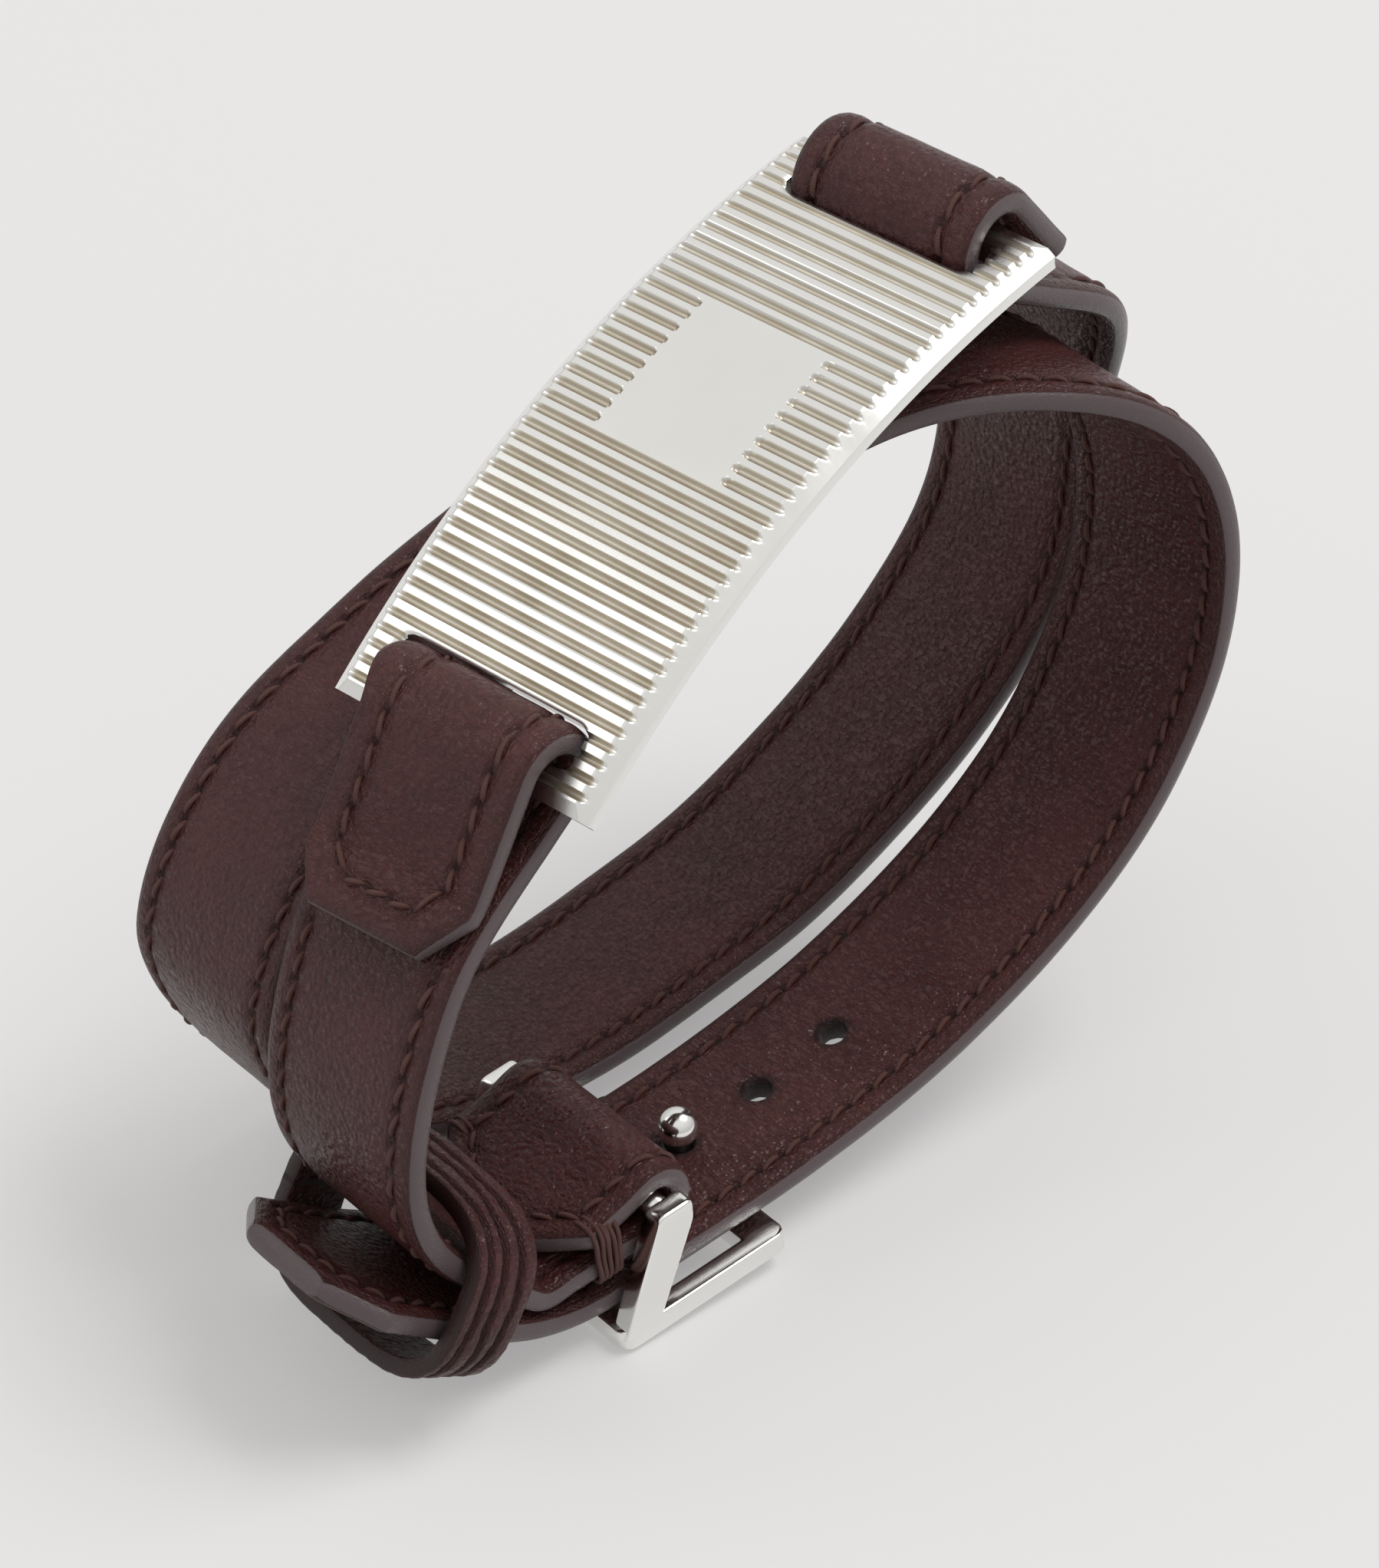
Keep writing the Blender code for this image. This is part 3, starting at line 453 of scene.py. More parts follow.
    def bar_centre(self, side: int) -> Array:
        """Middle of an end bar, side -1 lower and 1 upper."""
        return self.on_plate(side * (self.plate_arc / 2 - self.bar_width / 2), 0.0,
                             -self.plate_thickness / 2)

    def in_plane(self, degrees: float) -> Array:
        """Unit vector at an angle from the horizontal, square to the end bars."""
        angle = math.radians(degrees)
        return math.cos(angle) * self.level + math.sin(angle) * np.array([0.0, 0.0, 1.0])

    def bar_fold(self, centre: Array, leave: float, sign: float) -> Array:
        """Half circle round an end bar, from the wrist side to the outer side.

        Args:
            centre: Middle of the bar.
            leave: Direction in which the strap leaves, in degrees.
            sign: 1 or -1, the turn from that direction to the wrist side.

        Returns:
            Ten points, from the wrist side to the outer side.
        """
        angle = np.radians(np.arange(0, 181, 20))[:, None]
        inner = self.in_plane(leave + sign * 90.0)
        return centre + self.bar_fold_radius * (np.cos(angle) * inner - np.sin(angle)
                                                * self.in_plane(leave))

    def beside_bar(self, centre: Array, leave: float, sign: float, distance: float,
                   offset: float) -> Array:
        """Point beyond an end bar, offset towards the wrist."""
        return centre + distance * self.in_plane(leave) + offset * self.in_plane(leave
                                                                                 + sign * 90.0)


class StrapLine:
    """A strap's middle line with its along, across and outward directions, as tables over s."""

    STEP = 0.15

    def __init__(self, points: Array, layout: Layout, yaw_ends: tuple[float, float] = (0.0, 0.0),
                 polish: bool = True) -> None:
        """Fill the tables.

        The line is a Catmull-Rom curve with a point every STEP millimetres. It is blurred a little
        in the tight folds and more in the free runs, where a real strap bends evenly.

        Args:
            points: Points the line passes through.
            layout: The bracelet's measures.
            yaw_ends: Turn of the across direction at the first and the last fold, in radians.
            polish: True to blur the line.
        """
        dense = resample(catmull_rom(np.asarray(points)), self.STEP)
        if polish:
            fine, coarse = blurred(dense, 2.0), blurred(dense, 14.0)
            bend = np.linalg.norm(np.gradient(unit(np.gradient(fine, axis=0)), axis=0),
                                  axis=1) / self.STEP
            free = 1.0 - smooth(0.07, 0.2, blurred(bend[:, None], 10.0)[:, 0])
            free = blurred(free[:, None], 8.0)
            dense = resample(fine * (1 - free) + coarse * free, self.STEP)
        self.middle = dense
        self.reach = arc_lengths(dense)
        self.length = float(self.reach[-1])
        along = unit(np.gradient(dense, axis=0))
        ends = []
        for reach in (self.reach, self.length - self.reach):
            past = reach - layout.lower_tab - 2 * layout.bar_fold_radius
            ends.append(1.0 - smooth(0.0, layout.lower_tab * 1.1, past))
        yaw = yaw_ends[0] * ends[0] + yaw_ends[1] * ends[1]
        guide = np.stack([-np.sin(yaw), np.cos(yaw), np.zeros_like(yaw)], axis=1)
        self.across = unit(guide - (guide * along).sum(1)[:, None] * along)
        self.along = along
        self.outward = np.cross(self.across, along)

    def table(self, values: Array, s: Array) -> Array:
        """Values of a table at distances s."""
        return np.stack([np.interp(s, self.reach, column) for column in values.T], axis=-1)

    def at(self, s: Array | float) -> tuple[Array, Array]:
        """Middle point and outward direction at s."""
        where = np.asarray(s, float)
        return self.table(self.middle, where), self.table(self.outward, where)

    def place(self, s: Array, t: Array, h: Array) -> Array:
        """Point middle(s) + t across(s) + h outward(s).

        Args:
            s: Distances along the strap.
            t: Distances across the strap.
            h: Heights above the middle sheet.

        Returns:
            Points in the bracelet's own axes.
        """
        s, t, h = np.broadcast_arrays(s, t, h)
        return (self.table(self.middle, s) + t[..., None] * self.table(self.across, s)
                + h[..., None] * self.table(self.outward, s))


# --- Materials -----------------------------------------------------------------------------------
@dataclass(frozen=True)
class Leather:
    """A dyed leather: its tones, its painted edge, its gloss, and its grain.

    cell is the number of grain cells to a millimetre and depth the height of the grain in
    millimetres.
    """

    dark: tuple[float, float, float]
    light: tuple[float, float, float]
    paint: tuple[float, float, float]
    roughness: float
    cell: float
    depth: float
    wrinkle: float = 0.4
    gloss: float = 0.34


@dataclass(frozen=True)
class Silver:
    """A silver finish: its bright and tarnished tones and its roughness."""

    bright: tuple[float, float, float]
    tarnish: tuple[float, float, float]
    roughness: float
    tarnish_share: float


class Finish(Enum):
    """The finishes of the bracelet's pieces."""

    STRAP = Leather((0.044, 0.0098, 0.0084), (0.064, 0.0158, 0.0140), (0.092, 0.067, 0.070), 0.33,
                    2.9, 0.115)
    KEEPER = Leather((0.040, 0.0092, 0.0078), (0.064, 0.0158, 0.0140), (0.022, 0.0085, 0.0080),
                     0.37, 2.9, 0.14)
    PLATE = Silver((0.87, 0.865, 0.835), (0.50, 0.445, 0.355), 0.2, 1.0)
    BUCKLE = Silver((0.90, 0.893, 0.87), (0.42, 0.38, 0.33), 0.12, 0.35)
    THREAD = (0.052, 0.016, 0.0115)


class Shader:
    """A node tree being filled, with short calls for adding nodes and joining them."""

    def __init__(self, tree: bpy.types.NodeTree) -> None:
        """Keep the tree."""
        self.tree = tree

    def add(self, kind: str, **sockets: object) -> bpy.types.Node:
        """Add a node; a keyword sets the input of that name to a value or joins it to a socket.

        Args:
            kind: Node type without its ShaderNode prefix.
            sockets: Input name, with _ for a space, to its value or its source.

        Returns:
            The new node.
        """
        node = self.tree.nodes.new("ShaderNode" + kind)
        for label, value in sockets.items():
            self.put(node, label.replace("_", " "), value)
        return node

    def put(self, node: bpy.types.Node, label: str | int, value: object) -> None:
        """Set one input to a value, or join it to a socket.

        Args:
            node: Node to change.
            label: The input's name or number.
            value: A value, or the socket that feeds the input.
        """
        target = node.inputs[label]
        if isinstance(value, bpy.types.NodeSocket):
            self.tree.links.new(value, target)
        else:
            target.default_value = value

    def maths(self, operation: str, first: object, second: object = 0.0,
              clamp: bool = False) -> bpy.types.NodeSocket:
        """Maths node's result.

        Args:
            operation: Name of the operation.
            first: First number or socket.
            second: Second number or socket.
            clamp: True to hold the result between 0 and 1.

        Returns:
            The result's socket.
        """
        node = self.tree.nodes.new("ShaderNodeMath")
        node.operation = operation
        node.use_clamp = clamp
        self.put(node, 0, first)
        self.put(node, 1, second)
        return node.outputs[0]

    def mix(self, share: object, first: object, second: object) -> bpy.types.NodeSocket:
        """Colour between two colours.

        Args:
            share: How far to go from the first colour to the second, 0 to 1.
            first: Colour at 0.
            second: Colour at 1.

        Returns:
            The mixed colour's socket.
        """
        node = self.tree.nodes.new("ShaderNodeMix")
        node.data_type = "RGBA"
        self.put(node, 0, share)
        self.put(node, 6, first)
        self.put(node, 7, second)
        return node.outputs[2]

    def remap(self, value: object, low: float, high: float, to_low: float,
              to_high: float) -> bpy.types.NodeSocket:
        """Value moved from one range to another, held at its ends.

        Args:
            value: Socket to move.
            low: Start of its range.
            high: End of its range.
            to_low: Result at the start.
            to_high: Result at the end.

        Returns:
            The moved value's socket.
        """
        node = self.add("MapRange", Value=value)
        for label, number in (("From Min", low), ("From Max", high), ("To Min", to_low),
                              ("To Max", to_high)):
            self.put(node, label, number)
        return node.outputs[0]

    def mark(self, label: str, vector: bool = False) -> bpy.types.NodeSocket:
        """Output of a value kept on the mesh.

        Args:
            label: Name of the value on the mesh.
            vector: True for a vector, False for a number.

        Returns:
            The value's socket.
        """
        node = self.tree.nodes.new("ShaderNodeAttribute")
        node.attribute_name = label
        return node.outputs["Vector" if vector else "Fac"]


def new_group(name: str, inputs: dict[str, str],
              outputs: dict[str, str]) -> tuple[bpy.types.NodeTree, Shader, dict]:
    """Node group with named sockets.

    Args:
        name: Group name.
        inputs: Socket name to Float or Vector.
        outputs: Socket name to Float, Vector or Color.

    Returns:
        The tree, its shader helper, and its input sockets by name.
    """
    tree = bpy.data.node_groups.new(name, "ShaderNodeTree")
    for label, kind in inputs.items():
        tree.interface.new_socket(label, in_out="INPUT", socket_type="NodeSocket" + kind)
    for label, kind in outputs.items():
        tree.interface.new_socket(label, in_out="OUTPUT", socket_type="NodeSocket" + kind)
    entry = tree.nodes.new("NodeGroupInput")
    return tree, Shader(tree), {label: entry.outputs[label] for label in inputs}


class Workshop:
    """Builds the shared node groups once and makes each finish's material from them."""

    def __init__(self) -> None:
        """Build the groups."""
        self.grain = self.grain_group()
        self.handling = self.handling_group()
        self.made: dict[str, bpy.types.Material] = {}

    @staticmethod
    def close(tree: bpy.types.NodeTree,
              results: dict[str, bpy.types.NodeSocket]) -> bpy.types.NodeTree:
        """Join the results to the group's output.

        Args:
            tree: The group's tree.
            results: Output name to the socket that feeds it.

        Returns:
            The same tree.
        """
        leave = tree.nodes.new("NodeGroupOutput")
        for label, socket in results.items():
            tree.links.new(socket, leave.inputs[label])
        return tree

    def grain_group(self) -> bpy.types.NodeTree:
        """Leather grain: pebbles of a cell size, fine wrinkles across the strap, and pores between.

        Returns:
            The group, with Vector, Cells and Wrinkle in, and Height, Pores and Cloud out.
        """
        tree, shader, given = new_group("leather_grain",
                                        {"Vector": "Vector", "Cells": "Float", "Wrinkle": "Float"},
                                        {"Height": "Float", "Pores": "Float", "Cloud": "Float"})
        warp = shader.add("TexNoise", Vector=given["Vector"], Scale=1.1, Detail=2.0)
        moved = shader.tree.nodes.new("ShaderNodeVectorMath")
        moved.operation = "MULTIPLY_ADD"
        shader.put(moved, 0, warp.outputs["Color"])
        shader.put(moved, 1, (0.35, 0.35, 0.35))
        shader.put(moved, 2, given["Vector"])
        pebble = shader.add("TexVoronoi", Vector=moved.outputs[0], Scale=given["Cells"])
        pebble.feature = "SMOOTH_F1"
        rounded = shader.remap(pebble.outputs["Distance"], 0.25, 0.7, 1.0, 0.0)
        small_cells = shader.maths("MULTIPLY", given["Cells"], 2.3)
        fine = shader.add("TexNoise", Vector=moved.outputs[0], Scale=small_cells, Detail=3.0,
                          Roughness=0.6)
        stretch = shader.add("Mapping", Vector=moved.outputs[0], Scale=(2.6, 0.75, 1.0))
        creases = shader.add("TexNoise", Vector=stretch.outputs[0], Scale=1.25, Detail=4.0,
                             Roughness=0.62)
        ridge = shader.maths("ABSOLUTE", shader.maths("SUBTRACT", creases.outputs["Fac"], 0.5))
        ridge = shader.remap(ridge, 0.0, 0.06, 1.0, 0.0)
        height = shader.maths("ADD", rounded, shader.maths("MULTIPLY", fine.outputs["Fac"], 0.22))
        height = shader.maths("SUBTRACT", height,
                              shader.maths("MULTIPLY", ridge, given["Wrinkle"]))
        cloud = shader.add("TexNoise", Vector=given["Vector"], Scale=0.16, Detail=4.0,
                           Roughness=0.55)
        pores = shader.remap(pebble.outputs["Distance"], 0.45, 0.75, 0.0, 1.0)
        return self.close(tree, {"Height": height, "Pores": pores, "Cloud": cloud.outputs["Fac"]})

    def handling_group(self) -> bpy.types.NodeTree:
        """Handling marks on metal: soft smudges and fine scratches that run along the surface.

        Returns:
            The group, with Vector and Scale in, and Smudge and Scratch out.
        """
        tree, shader, given = new_group("handling_marks", {"Vector": "Vector", "Scale": "Float"},
                                        {"Smudge": "Float", "Scratch": "Float"})
        smudge = shader.add("TexNoise", Vector=given["Vector"], Scale=given["Scale"], Detail=3.0,
                            Roughness=0.5)
        drawn = shader.add("Mapping", Vector=given["Vector"], Scale=(1.0, 14.0, 14.0))
        close_up = shader.maths("MULTIPLY", given["Scale"], 2.0)
        scratch = shader.add("TexNoise", Vector=drawn.outputs[0], Scale=close_up, Detail=5.0,
                             Roughness=0.7)
        return self.close(tree,
                          {"Smudge": smudge.outputs["Fac"], "Scratch": scratch.outputs["Fac"]})

    def start(self, name: str) -> tuple[bpy.types.Material, Shader, bpy.types.Node]:
        """New material with its Principled shader.

        Args:
            name: Material name.

        Returns:
            The material, its shader helper and its Principled shader.
        """
        material = bpy.data.materials.new(name)
        material.use_nodes = True
        return material, Shader(material.node_tree), material.node_tree.nodes["Principled BSDF"]

    def use(self, shader: Shader, tree: bpy.types.NodeTree, **sockets: object) -> bpy.types.Node:
        """Place a group in a material.

        Args:
            shader: Helper of the material to fill.
            tree: The group.
            sockets: Input name to its value or its source.

        Returns:
            The group's node.
        """
        node = shader.tree.nodes.new("ShaderNodeGroup")
        node.node_tree = tree
        for label, value in sockets.items():
            shader.put(node, label, value)
        return node

    def leather(self, name: str, finish: Leather) -> bpy.types.Material:
        """Grained leather with painted edges; marks flat, edge and painted shade come from the
        mesh.

        Args:
            name: Material name.
            finish: The leather's tones and grain.

        Returns:
            The material, made once and shared.
        """
        if name in self.made:
            return self.made[name]
        material, shader, skin = self.start(name)
        flat = shader.mark("flat", vector=True)
        edge = shader.remap(shader.mark("edge"), 0.3, 0.62, 0.0, 1.0)
        grain = self.use(shader, self.grain, Vector=flat, Cells=finish.cell,
                         Wrinkle=finish.wrinkle)
        tone = shader.remap(grain.outputs["Cloud"], 0.32, 0.7, 0.0, 1.0)
        colour = shader.mix(tone, (*finish.dark, 1.0), (*finish.light, 1.0))
        shade = shader.maths("MULTIPLY", grain.outputs["Pores"], 0.4)
        colour = shader.mix(shade, colour, (*[c * 0.4 for c in finish.dark], 1.0))
        # Painted shade: the shade mark darkens the colour towards a third of the dark tone in seam
        # troughs, needle pits, punched holes and keeper creases.
        colour = shader.mix(shader.maths("MULTIPLY", shader.mark("painted_shade"), 0.75), colour,
                            (*[c * 0.3 for c in finish.dark], 1.0))
        worn = shader.remap(grain.outputs["Cloud"], 0.3, 0.7, 0.75, 1.15)
        painted = shader.mix(worn, (*[c * 0.55 for c in finish.paint], 1.0), (*finish.paint, 1.0))
        shader.put(skin, "Base Color", shader.mix(edge, colour, painted))
        rough = shader.remap(grain.outputs["Cloud"], 0.3, 0.7, finish.roughness - 0.07,
                             finish.roughness + 0.07)
        rough = shader.maths("ADD", rough, shader.maths("MULTIPLY", grain.outputs["Pores"], 0.15))
        shader.put(skin, "Roughness",
                   shader.maths("SUBTRACT", rough, shader.maths("MULTIPLY", edge, 0.12)))
        level = shader.maths("MULTIPLY", grain.outputs["Height"],
                             shader.remap(edge, 0.0, 1.0, 1.0, 0.12))
        bump = shader.add("Bump", Height=level, Strength=0.85, Distance=finish.depth * METRE)
        shader.put(skin, "Normal", bump.outputs[0])
        skin.inputs["Specular IOR Level"].default_value = finish.gloss
        self.made[name] = material
        return material

    def silver(self, name: str, finish: Silver) -> bpy.types.Material:
        """Polished silver, duller and browner where the mark hollow is high.

        Args:
            name: Material name.
            finish: The metal's tones and roughness.

        Returns:
            The material, made once and shared.
        """
        if name in self.made:
            return self.made[name]
        material, shader, skin = self.start(name)
        place = shader.add("TexCoord").outputs["Object"]
        marks = self.use(shader, self.handling, Vector=place, Scale=260.0)
        hollow = shader.maths("MULTIPLY", shader.mark("hollow"), finish.tarnish_share)
        hollow = shader.maths("MULTIPLY", hollow,
                              shader.remap(marks.outputs["Smudge"], 0.25, 0.75, 0.75, 1.1), True)
        shader.put(skin, "Base Color",
                   shader.mix(hollow, (*finish.bright, 1.0), (*finish.tarnish, 1.0)))
        rough = shader.remap(marks.outputs["Smudge"], 0.3, 0.7, finish.roughness * 0.8,
                             finish.roughness * 1.35)
        rough = shader.maths("ADD", rough, shader.maths("MULTIPLY", hollow, 0.18))
        shader.put(skin, "Roughness", rough)
        bump = shader.add("Bump", Height=marks.outputs["Scratch"], Strength=0.12,
                          Distance=0.02 * METRE)
        shader.put(skin, "Normal", bump.outputs[0])
        skin.inputs["Metallic"].default_value = 1.0
        self.made[name] = material
        return material

    def thread(self, name: str, colour: tuple[float, float, float]) -> bpy.types.Material:
        """Twisted waxed thread; mark run is the distance along it.

        Args:
            name: Material name.
            colour: The thread's colour.

        Returns:
            The material, made once and shared.
        """
        if name in self.made:
            return self.made[name]
        material, shader, skin = self.start(name)
        run = shader.mark("flat", vector=True)
        ply = shader.add("TexWave", Vector=run, Scale=1.15, Distortion=0.6)
        fuzz = shader.add("TexNoise", Vector=run, Scale=9.0, Detail=3.0)
        pale = tuple(min(1.0, c * 1.9) for c in colour)
        shader.put(skin, "Base Color",
                   shader.mix(fuzz.outputs["Fac"], (*colour, 1.0), (*pale, 1.0)))
        height = shader.maths("ADD", ply.outputs["Fac"],
                              shader.maths("MULTIPLY", fuzz.outputs["Fac"], 0.5))
        bump = shader.add("Bump", Height=height, Strength=0.7, Distance=0.06 * METRE)
        shader.put(skin, "Normal", bump.outputs[0])
        skin.inputs["Roughness"].default_value = 0.62
        self.made[name] = material
        return material


# --- Straps --------------------------------------------------------------------------------------
@dataclass
class Strap:
    """One lined strap with its painted edges, punched holes and stitching."""

    name: str
    layout: Layout
    line: StrapLine
    nodes: tuple[str, ...]
    hidden: dict[float, list[tuple[float, float]]]
    holes: list[float] = field(default_factory=list)
    hole_radius: float = 1.0
    row_step: float = 0.45
    tab_at_start: bool = True
    tab_length: float = 12.8
    tab_trim: float = 0.17
    tab_inset: float = 2.1
    tab_cut: float = 1.2
    tab_tip_share: float = 0.66
    seam_inset: float = 1.5
    stitch: float = 1.8
    thread_radius: float = 0.19
    edge_bulge: float = 0.13
    edge_drop: float = 0.34
    edge_soft: float = 0.42
    trough_depth: float = 0.13
    trough_half: float = 0.36
    pit_depth: float = 0.22
    pit_half: float = 0.24
    puff: float = 0.05

    def columns(self) -> Array:
        """Distances across as shares of the half width, close together at the seams and edges.

        Returns:
            Shares from -1 to 1, in order.
        """
        half = self.layout.strap_width / 2
        right = np.array([0.0, 0.35, 0.7, 1.05, 1.4, 1.9, 2.6, 3.3, 3.9, 4.3, 4.58, 4.8, 5.0, 5.2,
                          5.42, 5.7, 6.0, 6.22, 6.38, half]) / half
        return np.concatenate([-right[:0:-1], right])

    def half_width(self, s: Array) -> Array:
        """Half width at s, which narrows to the blunt point at both ends.

        Args:
            s: Distances along the strap.

        Returns:
            The half widths there.
        """
        lay = self.layout
        tab, plain = (np.clip(away / lay.tip_chamfer, 0.0, 1.0) for away in self.from_ends(s))
        tab_share = self.tab_tip_share + (1 - self.tab_tip_share) * tab
        plain_share = lay.tip_share + (1 - lay.tip_share) * plain
        return lay.strap_width / 2 * np.minimum(tab_share, plain_share)

    def from_ends(self, s: Array) -> tuple[Array, Array]:
        """Distance from the plate tab's cut end, and from the strap's other end."""
        back = self.line.length - s
        return (s - self.tab_cut, back) if self.tab_at_start else (back - self.tab_cut, s)

    def trimmed(self, s: Array, t: Array) -> Array:
        """Distance across with the tab's far side cut back, fading over the fold round the bar.

        Args:
            s: Distances along the strap.
            t: Distances across before the cut.

        Returns:
            Distances across after it.
        """
        from_tab = s if self.tab_at_start else self.line.length - s
        share = 1.0 - smooth(self.tab_length, self.tab_length + 3.0, from_tab)
        return np.where(t > 0, t * (1.0 - self.tab_trim * share), t)

    def seam(self) -> Array:
        """Closed stitch line: both edges and both blunt points, moved in by the inset.

        Returns:
            Needle holes as pairs of s and t, with the first one again at the end.
        """
        lay, length = self.layout, self.line.length
        side = lay.strap_width / 2 - self.seam_inset
        tip = lay.strap_width / 2 * lay.tip_share - 0.45 * self.seam_inset
        inset, bend = self.seam_inset, lay.tip_chamfer + 0.45 * self.seam_inset
        near = -(lay.strap_width / 2 - self.tab_inset)
        far = lay.strap_width / 2 * (1.0 - self.tab_trim) - self.tab_inset + 0.3
        turn, past = self.tab_length + 4.0, self.tab_length + 9.0
        first, blunt = self.tab_cut + self.tab_inset, 1.5
        tab = [[past, side], [turn, far], [first + 1.8, far], [first, far - blunt],
               [first, near + blunt], [first + 1.8, near], [turn, near], [past, -side]]
        plain = [[length - bend, -side], [length - inset, -tip], [length - inset, tip],
                 [length - bend, side]]
        corners = np.array(tab + plain + tab[:1])
        if not self.tab_at_start:
            corners = corners[::-1] * [-1.0, 1.0] + [length, 0.0]
        legs = [resample(corners[k:k + 2], self.stitch)[:-1] for k in range(len(corners) - 1)]
        return np.vstack(legs + [corners[-1:]])

    def height(self, s: Array, t: Array, seam: Array) -> Array:
        """Half thickness: a crown that falls at the edge, a trough at the seam and needle pits.

        h = half - edge_drop exp(-e / edge_soft) + puff - trough_depth exp(-(d / trough_half)^2)
        - pit_depth exp(-(r / pit_half)^2), with e the distance to the edge, d the distance to the
        stitch line and r the distance to the nearest needle hole.

        Args:
            s: Distances along the strap.
            t: Distances across the strap.
            seam: The needle holes.

        Returns:
            Half thickness at every grid point.
        """
        lay = self.layout
        inside = self.half_width(s) - np.abs(t)
        roll = self.edge_drop * np.exp(-np.clip(inside, 0.0, None) / self.edge_soft)
        points = np.stack([s.ravel(), t.ravel()], axis=1)
        near_line, near_hole = np.full(len(points), 9.0), np.full(len(points), 9.0)
        order = np.argsort(points[:, 0])
        ranked = points[order, 0]
        for start, end in zip(seam[:-1], seam[1:]):
            window = (min(start[0], end[0]) - 1.0, max(start[0], end[0]) + 1.0)
            first, last = np.searchsorted(ranked, window)
            near = order[first:last]
            leg = end - start
            share = np.clip((points[near] - start) @ leg / max(leg @ leg, 1e-9), 0.0, 1.0)
            apart = np.linalg.norm(points[near] - start - share[:, None] * leg, axis=1)
            near_line[near] = np.minimum(near_line[near], apart)
            from_hole = np.linalg.norm(points[near] - start, axis=1)
            near_hole[near] = np.minimum(near_hole[near], from_hole)
        trough = (self.trough_depth * np.exp(-(near_line / self.trough_half) ** 2)
                  + self.pit_depth * np.exp(-(near_hole / self.pit_half) ** 2))
        puff = self.puff * smooth(0.2, 1.2, near_line)
        puff = puff + 0.015 * wavy(5, points[:, 0] + 3 * points[:, 1], 2.3)
        return lay.strap_thickness / 2 - 0.03 - roll + (puff - trough).reshape(s.shape)

    def build(self, workshop: Workshop, body: str) -> None:
        """Make the leather and its stitching.

        Args:
            workshop: Where the materials come from.
            body: CAD body that the pieces ride on.
        """
        lay = self.layout
        tips = np.array([0.12, 0.28, lay.tip_chamfer])
        low, high = (self.tab_cut, 0.0) if self.tab_at_start else (0.0, self.tab_cut)
        high = self.line.length - high
        rows = np.linspace(low, high, int(self.line.length / self.row_step))
        rows = np.unique(np.concatenate([rows, low + tips, high - tips]))
        s, share = np.meshgrid(rows, self.columns(), indexing="ij")
        t = self.trimmed(s, share * self.half_width(s))
        keep = np.ones((s.shape[0] - 1, s.shape[1] - 1), bool)
        for hole in self.holes:
            punch(s, t, keep, lambda a, b, at=hole: np.hypot(a - at, b) - self.hole_radius)
        seam = self.seam()
        high = self.height(s, t, seam)
        high = high - 0.2 * np.exp(-np.minimum(*self.from_ends(s)) / 0.25)
        top, bottom = self.line.place(s, t, high), self.line.place(s, t, -high)
        points, faces, source, wall = shell(top, bottom, keep, self.edge_bulge, 3)
        flat_s, flat_t = s.ravel()[source], t.ravel()[source]
        level = ((points - self.line.place(flat_s, flat_t, np.zeros_like(flat_s)))
                 * self.line.table(self.line.outward, flat_s)).sum(1)
        flat = np.stack([flat_s, flat_t, level * 6.0], axis=1)
        from_holes = [np.hypot(flat_s - at, flat_t) for at in self.holes]
        in_hole = np.min(from_holes or [np.full_like(flat_s, 9.0)], axis=0)
        wall = np.where(in_hole < self.hole_radius + 0.1, 0.0, wall)
        # Painted shade: darker where the top sinks below its crown (stitch trough, needle pits,
        # strap ends), faded at the rolled edges, and full on the punched holes' walls.
        sunk = (lay.strap_thickness / 2 - 0.05 - high).ravel()[source]
        painted_shade = np.clip(sunk / 0.3, 0.0, 1.0) * (wall < 0.3)
        inside = np.clip(self.half_width(s) - np.abs(t), 0.0, None).ravel()[source]
        edge_roll = np.exp(-inside / 0.2)
        painted_shade = np.maximum(painted_shade * (1 - edge_roll), in_hole < self.hole_radius + 0.1)
        piece = make_piece(self.name + "_leather", points + lay.shift, faces, body,
                           {"flat": flat, "edge": wall, "painted_shade": painted_shade})
        piece.data.materials.append(workshop.leather("oxblood_leather", Finish.STRAP.value))
        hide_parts(*self.nodes)
        self.build_stitching(workshop, body, seam)

    def build_stitching(self, workshop: Workshop, body: str, seam: Array) -> None:
        """Saddle stitches on both faces: each dips into its two needle holes and leans a little.

        Args:
            workshop: Where the materials come from.
            body: CAD body that the pieces ride on.
            seam: The needle holes.
        """
        start, end = seam[:-1], seam[1:]
        share = np.linspace(0.0, 1.0, 7)[None, :, None]
        leg = end - start
        lean = np.stack([-leg[:, 1], leg[:, 0]], axis=1) / np.linalg.norm(leg, axis=1)[:, None]
        jitter = 0.05 * wavy(11, np.arange(len(start)) * 1.7, 1.0)
        slant = lean[:, None] * (0.17 + jitter[:, None, None]) * (2 * share - 1)
        run = start[:, None] + (0.09 + 0.80 * share) * leg[:, None] + slant
        arch = np.sin(math.pi * share[..., 0]) ** 0.6
        blocks = []
        for face in (1.0, -1.0):
            middle = run[:, 3, 0]
            shown = np.ones(len(start), bool)
            for low, high in self.hidden.get(face, []):
                shown &= (middle < low) | (middle > high)
            paths = run[shown]
            level = self.layout.strap_thickness / 2 - 0.32 + 0.27 * arch
            rise = face * np.broadcast_to(level, paths.shape[:2])
            places = self.line.place(paths[..., 0], paths[..., 1], rise)
            side = face * self.line.table(self.line.outward, paths[..., 0])
            radius = self.thread_radius * np.broadcast_to(0.75 + 0.25 * arch, paths.shape[:2])
            blocks.append(tubes(places, side, radius))
        offset = len(blocks[0][0])
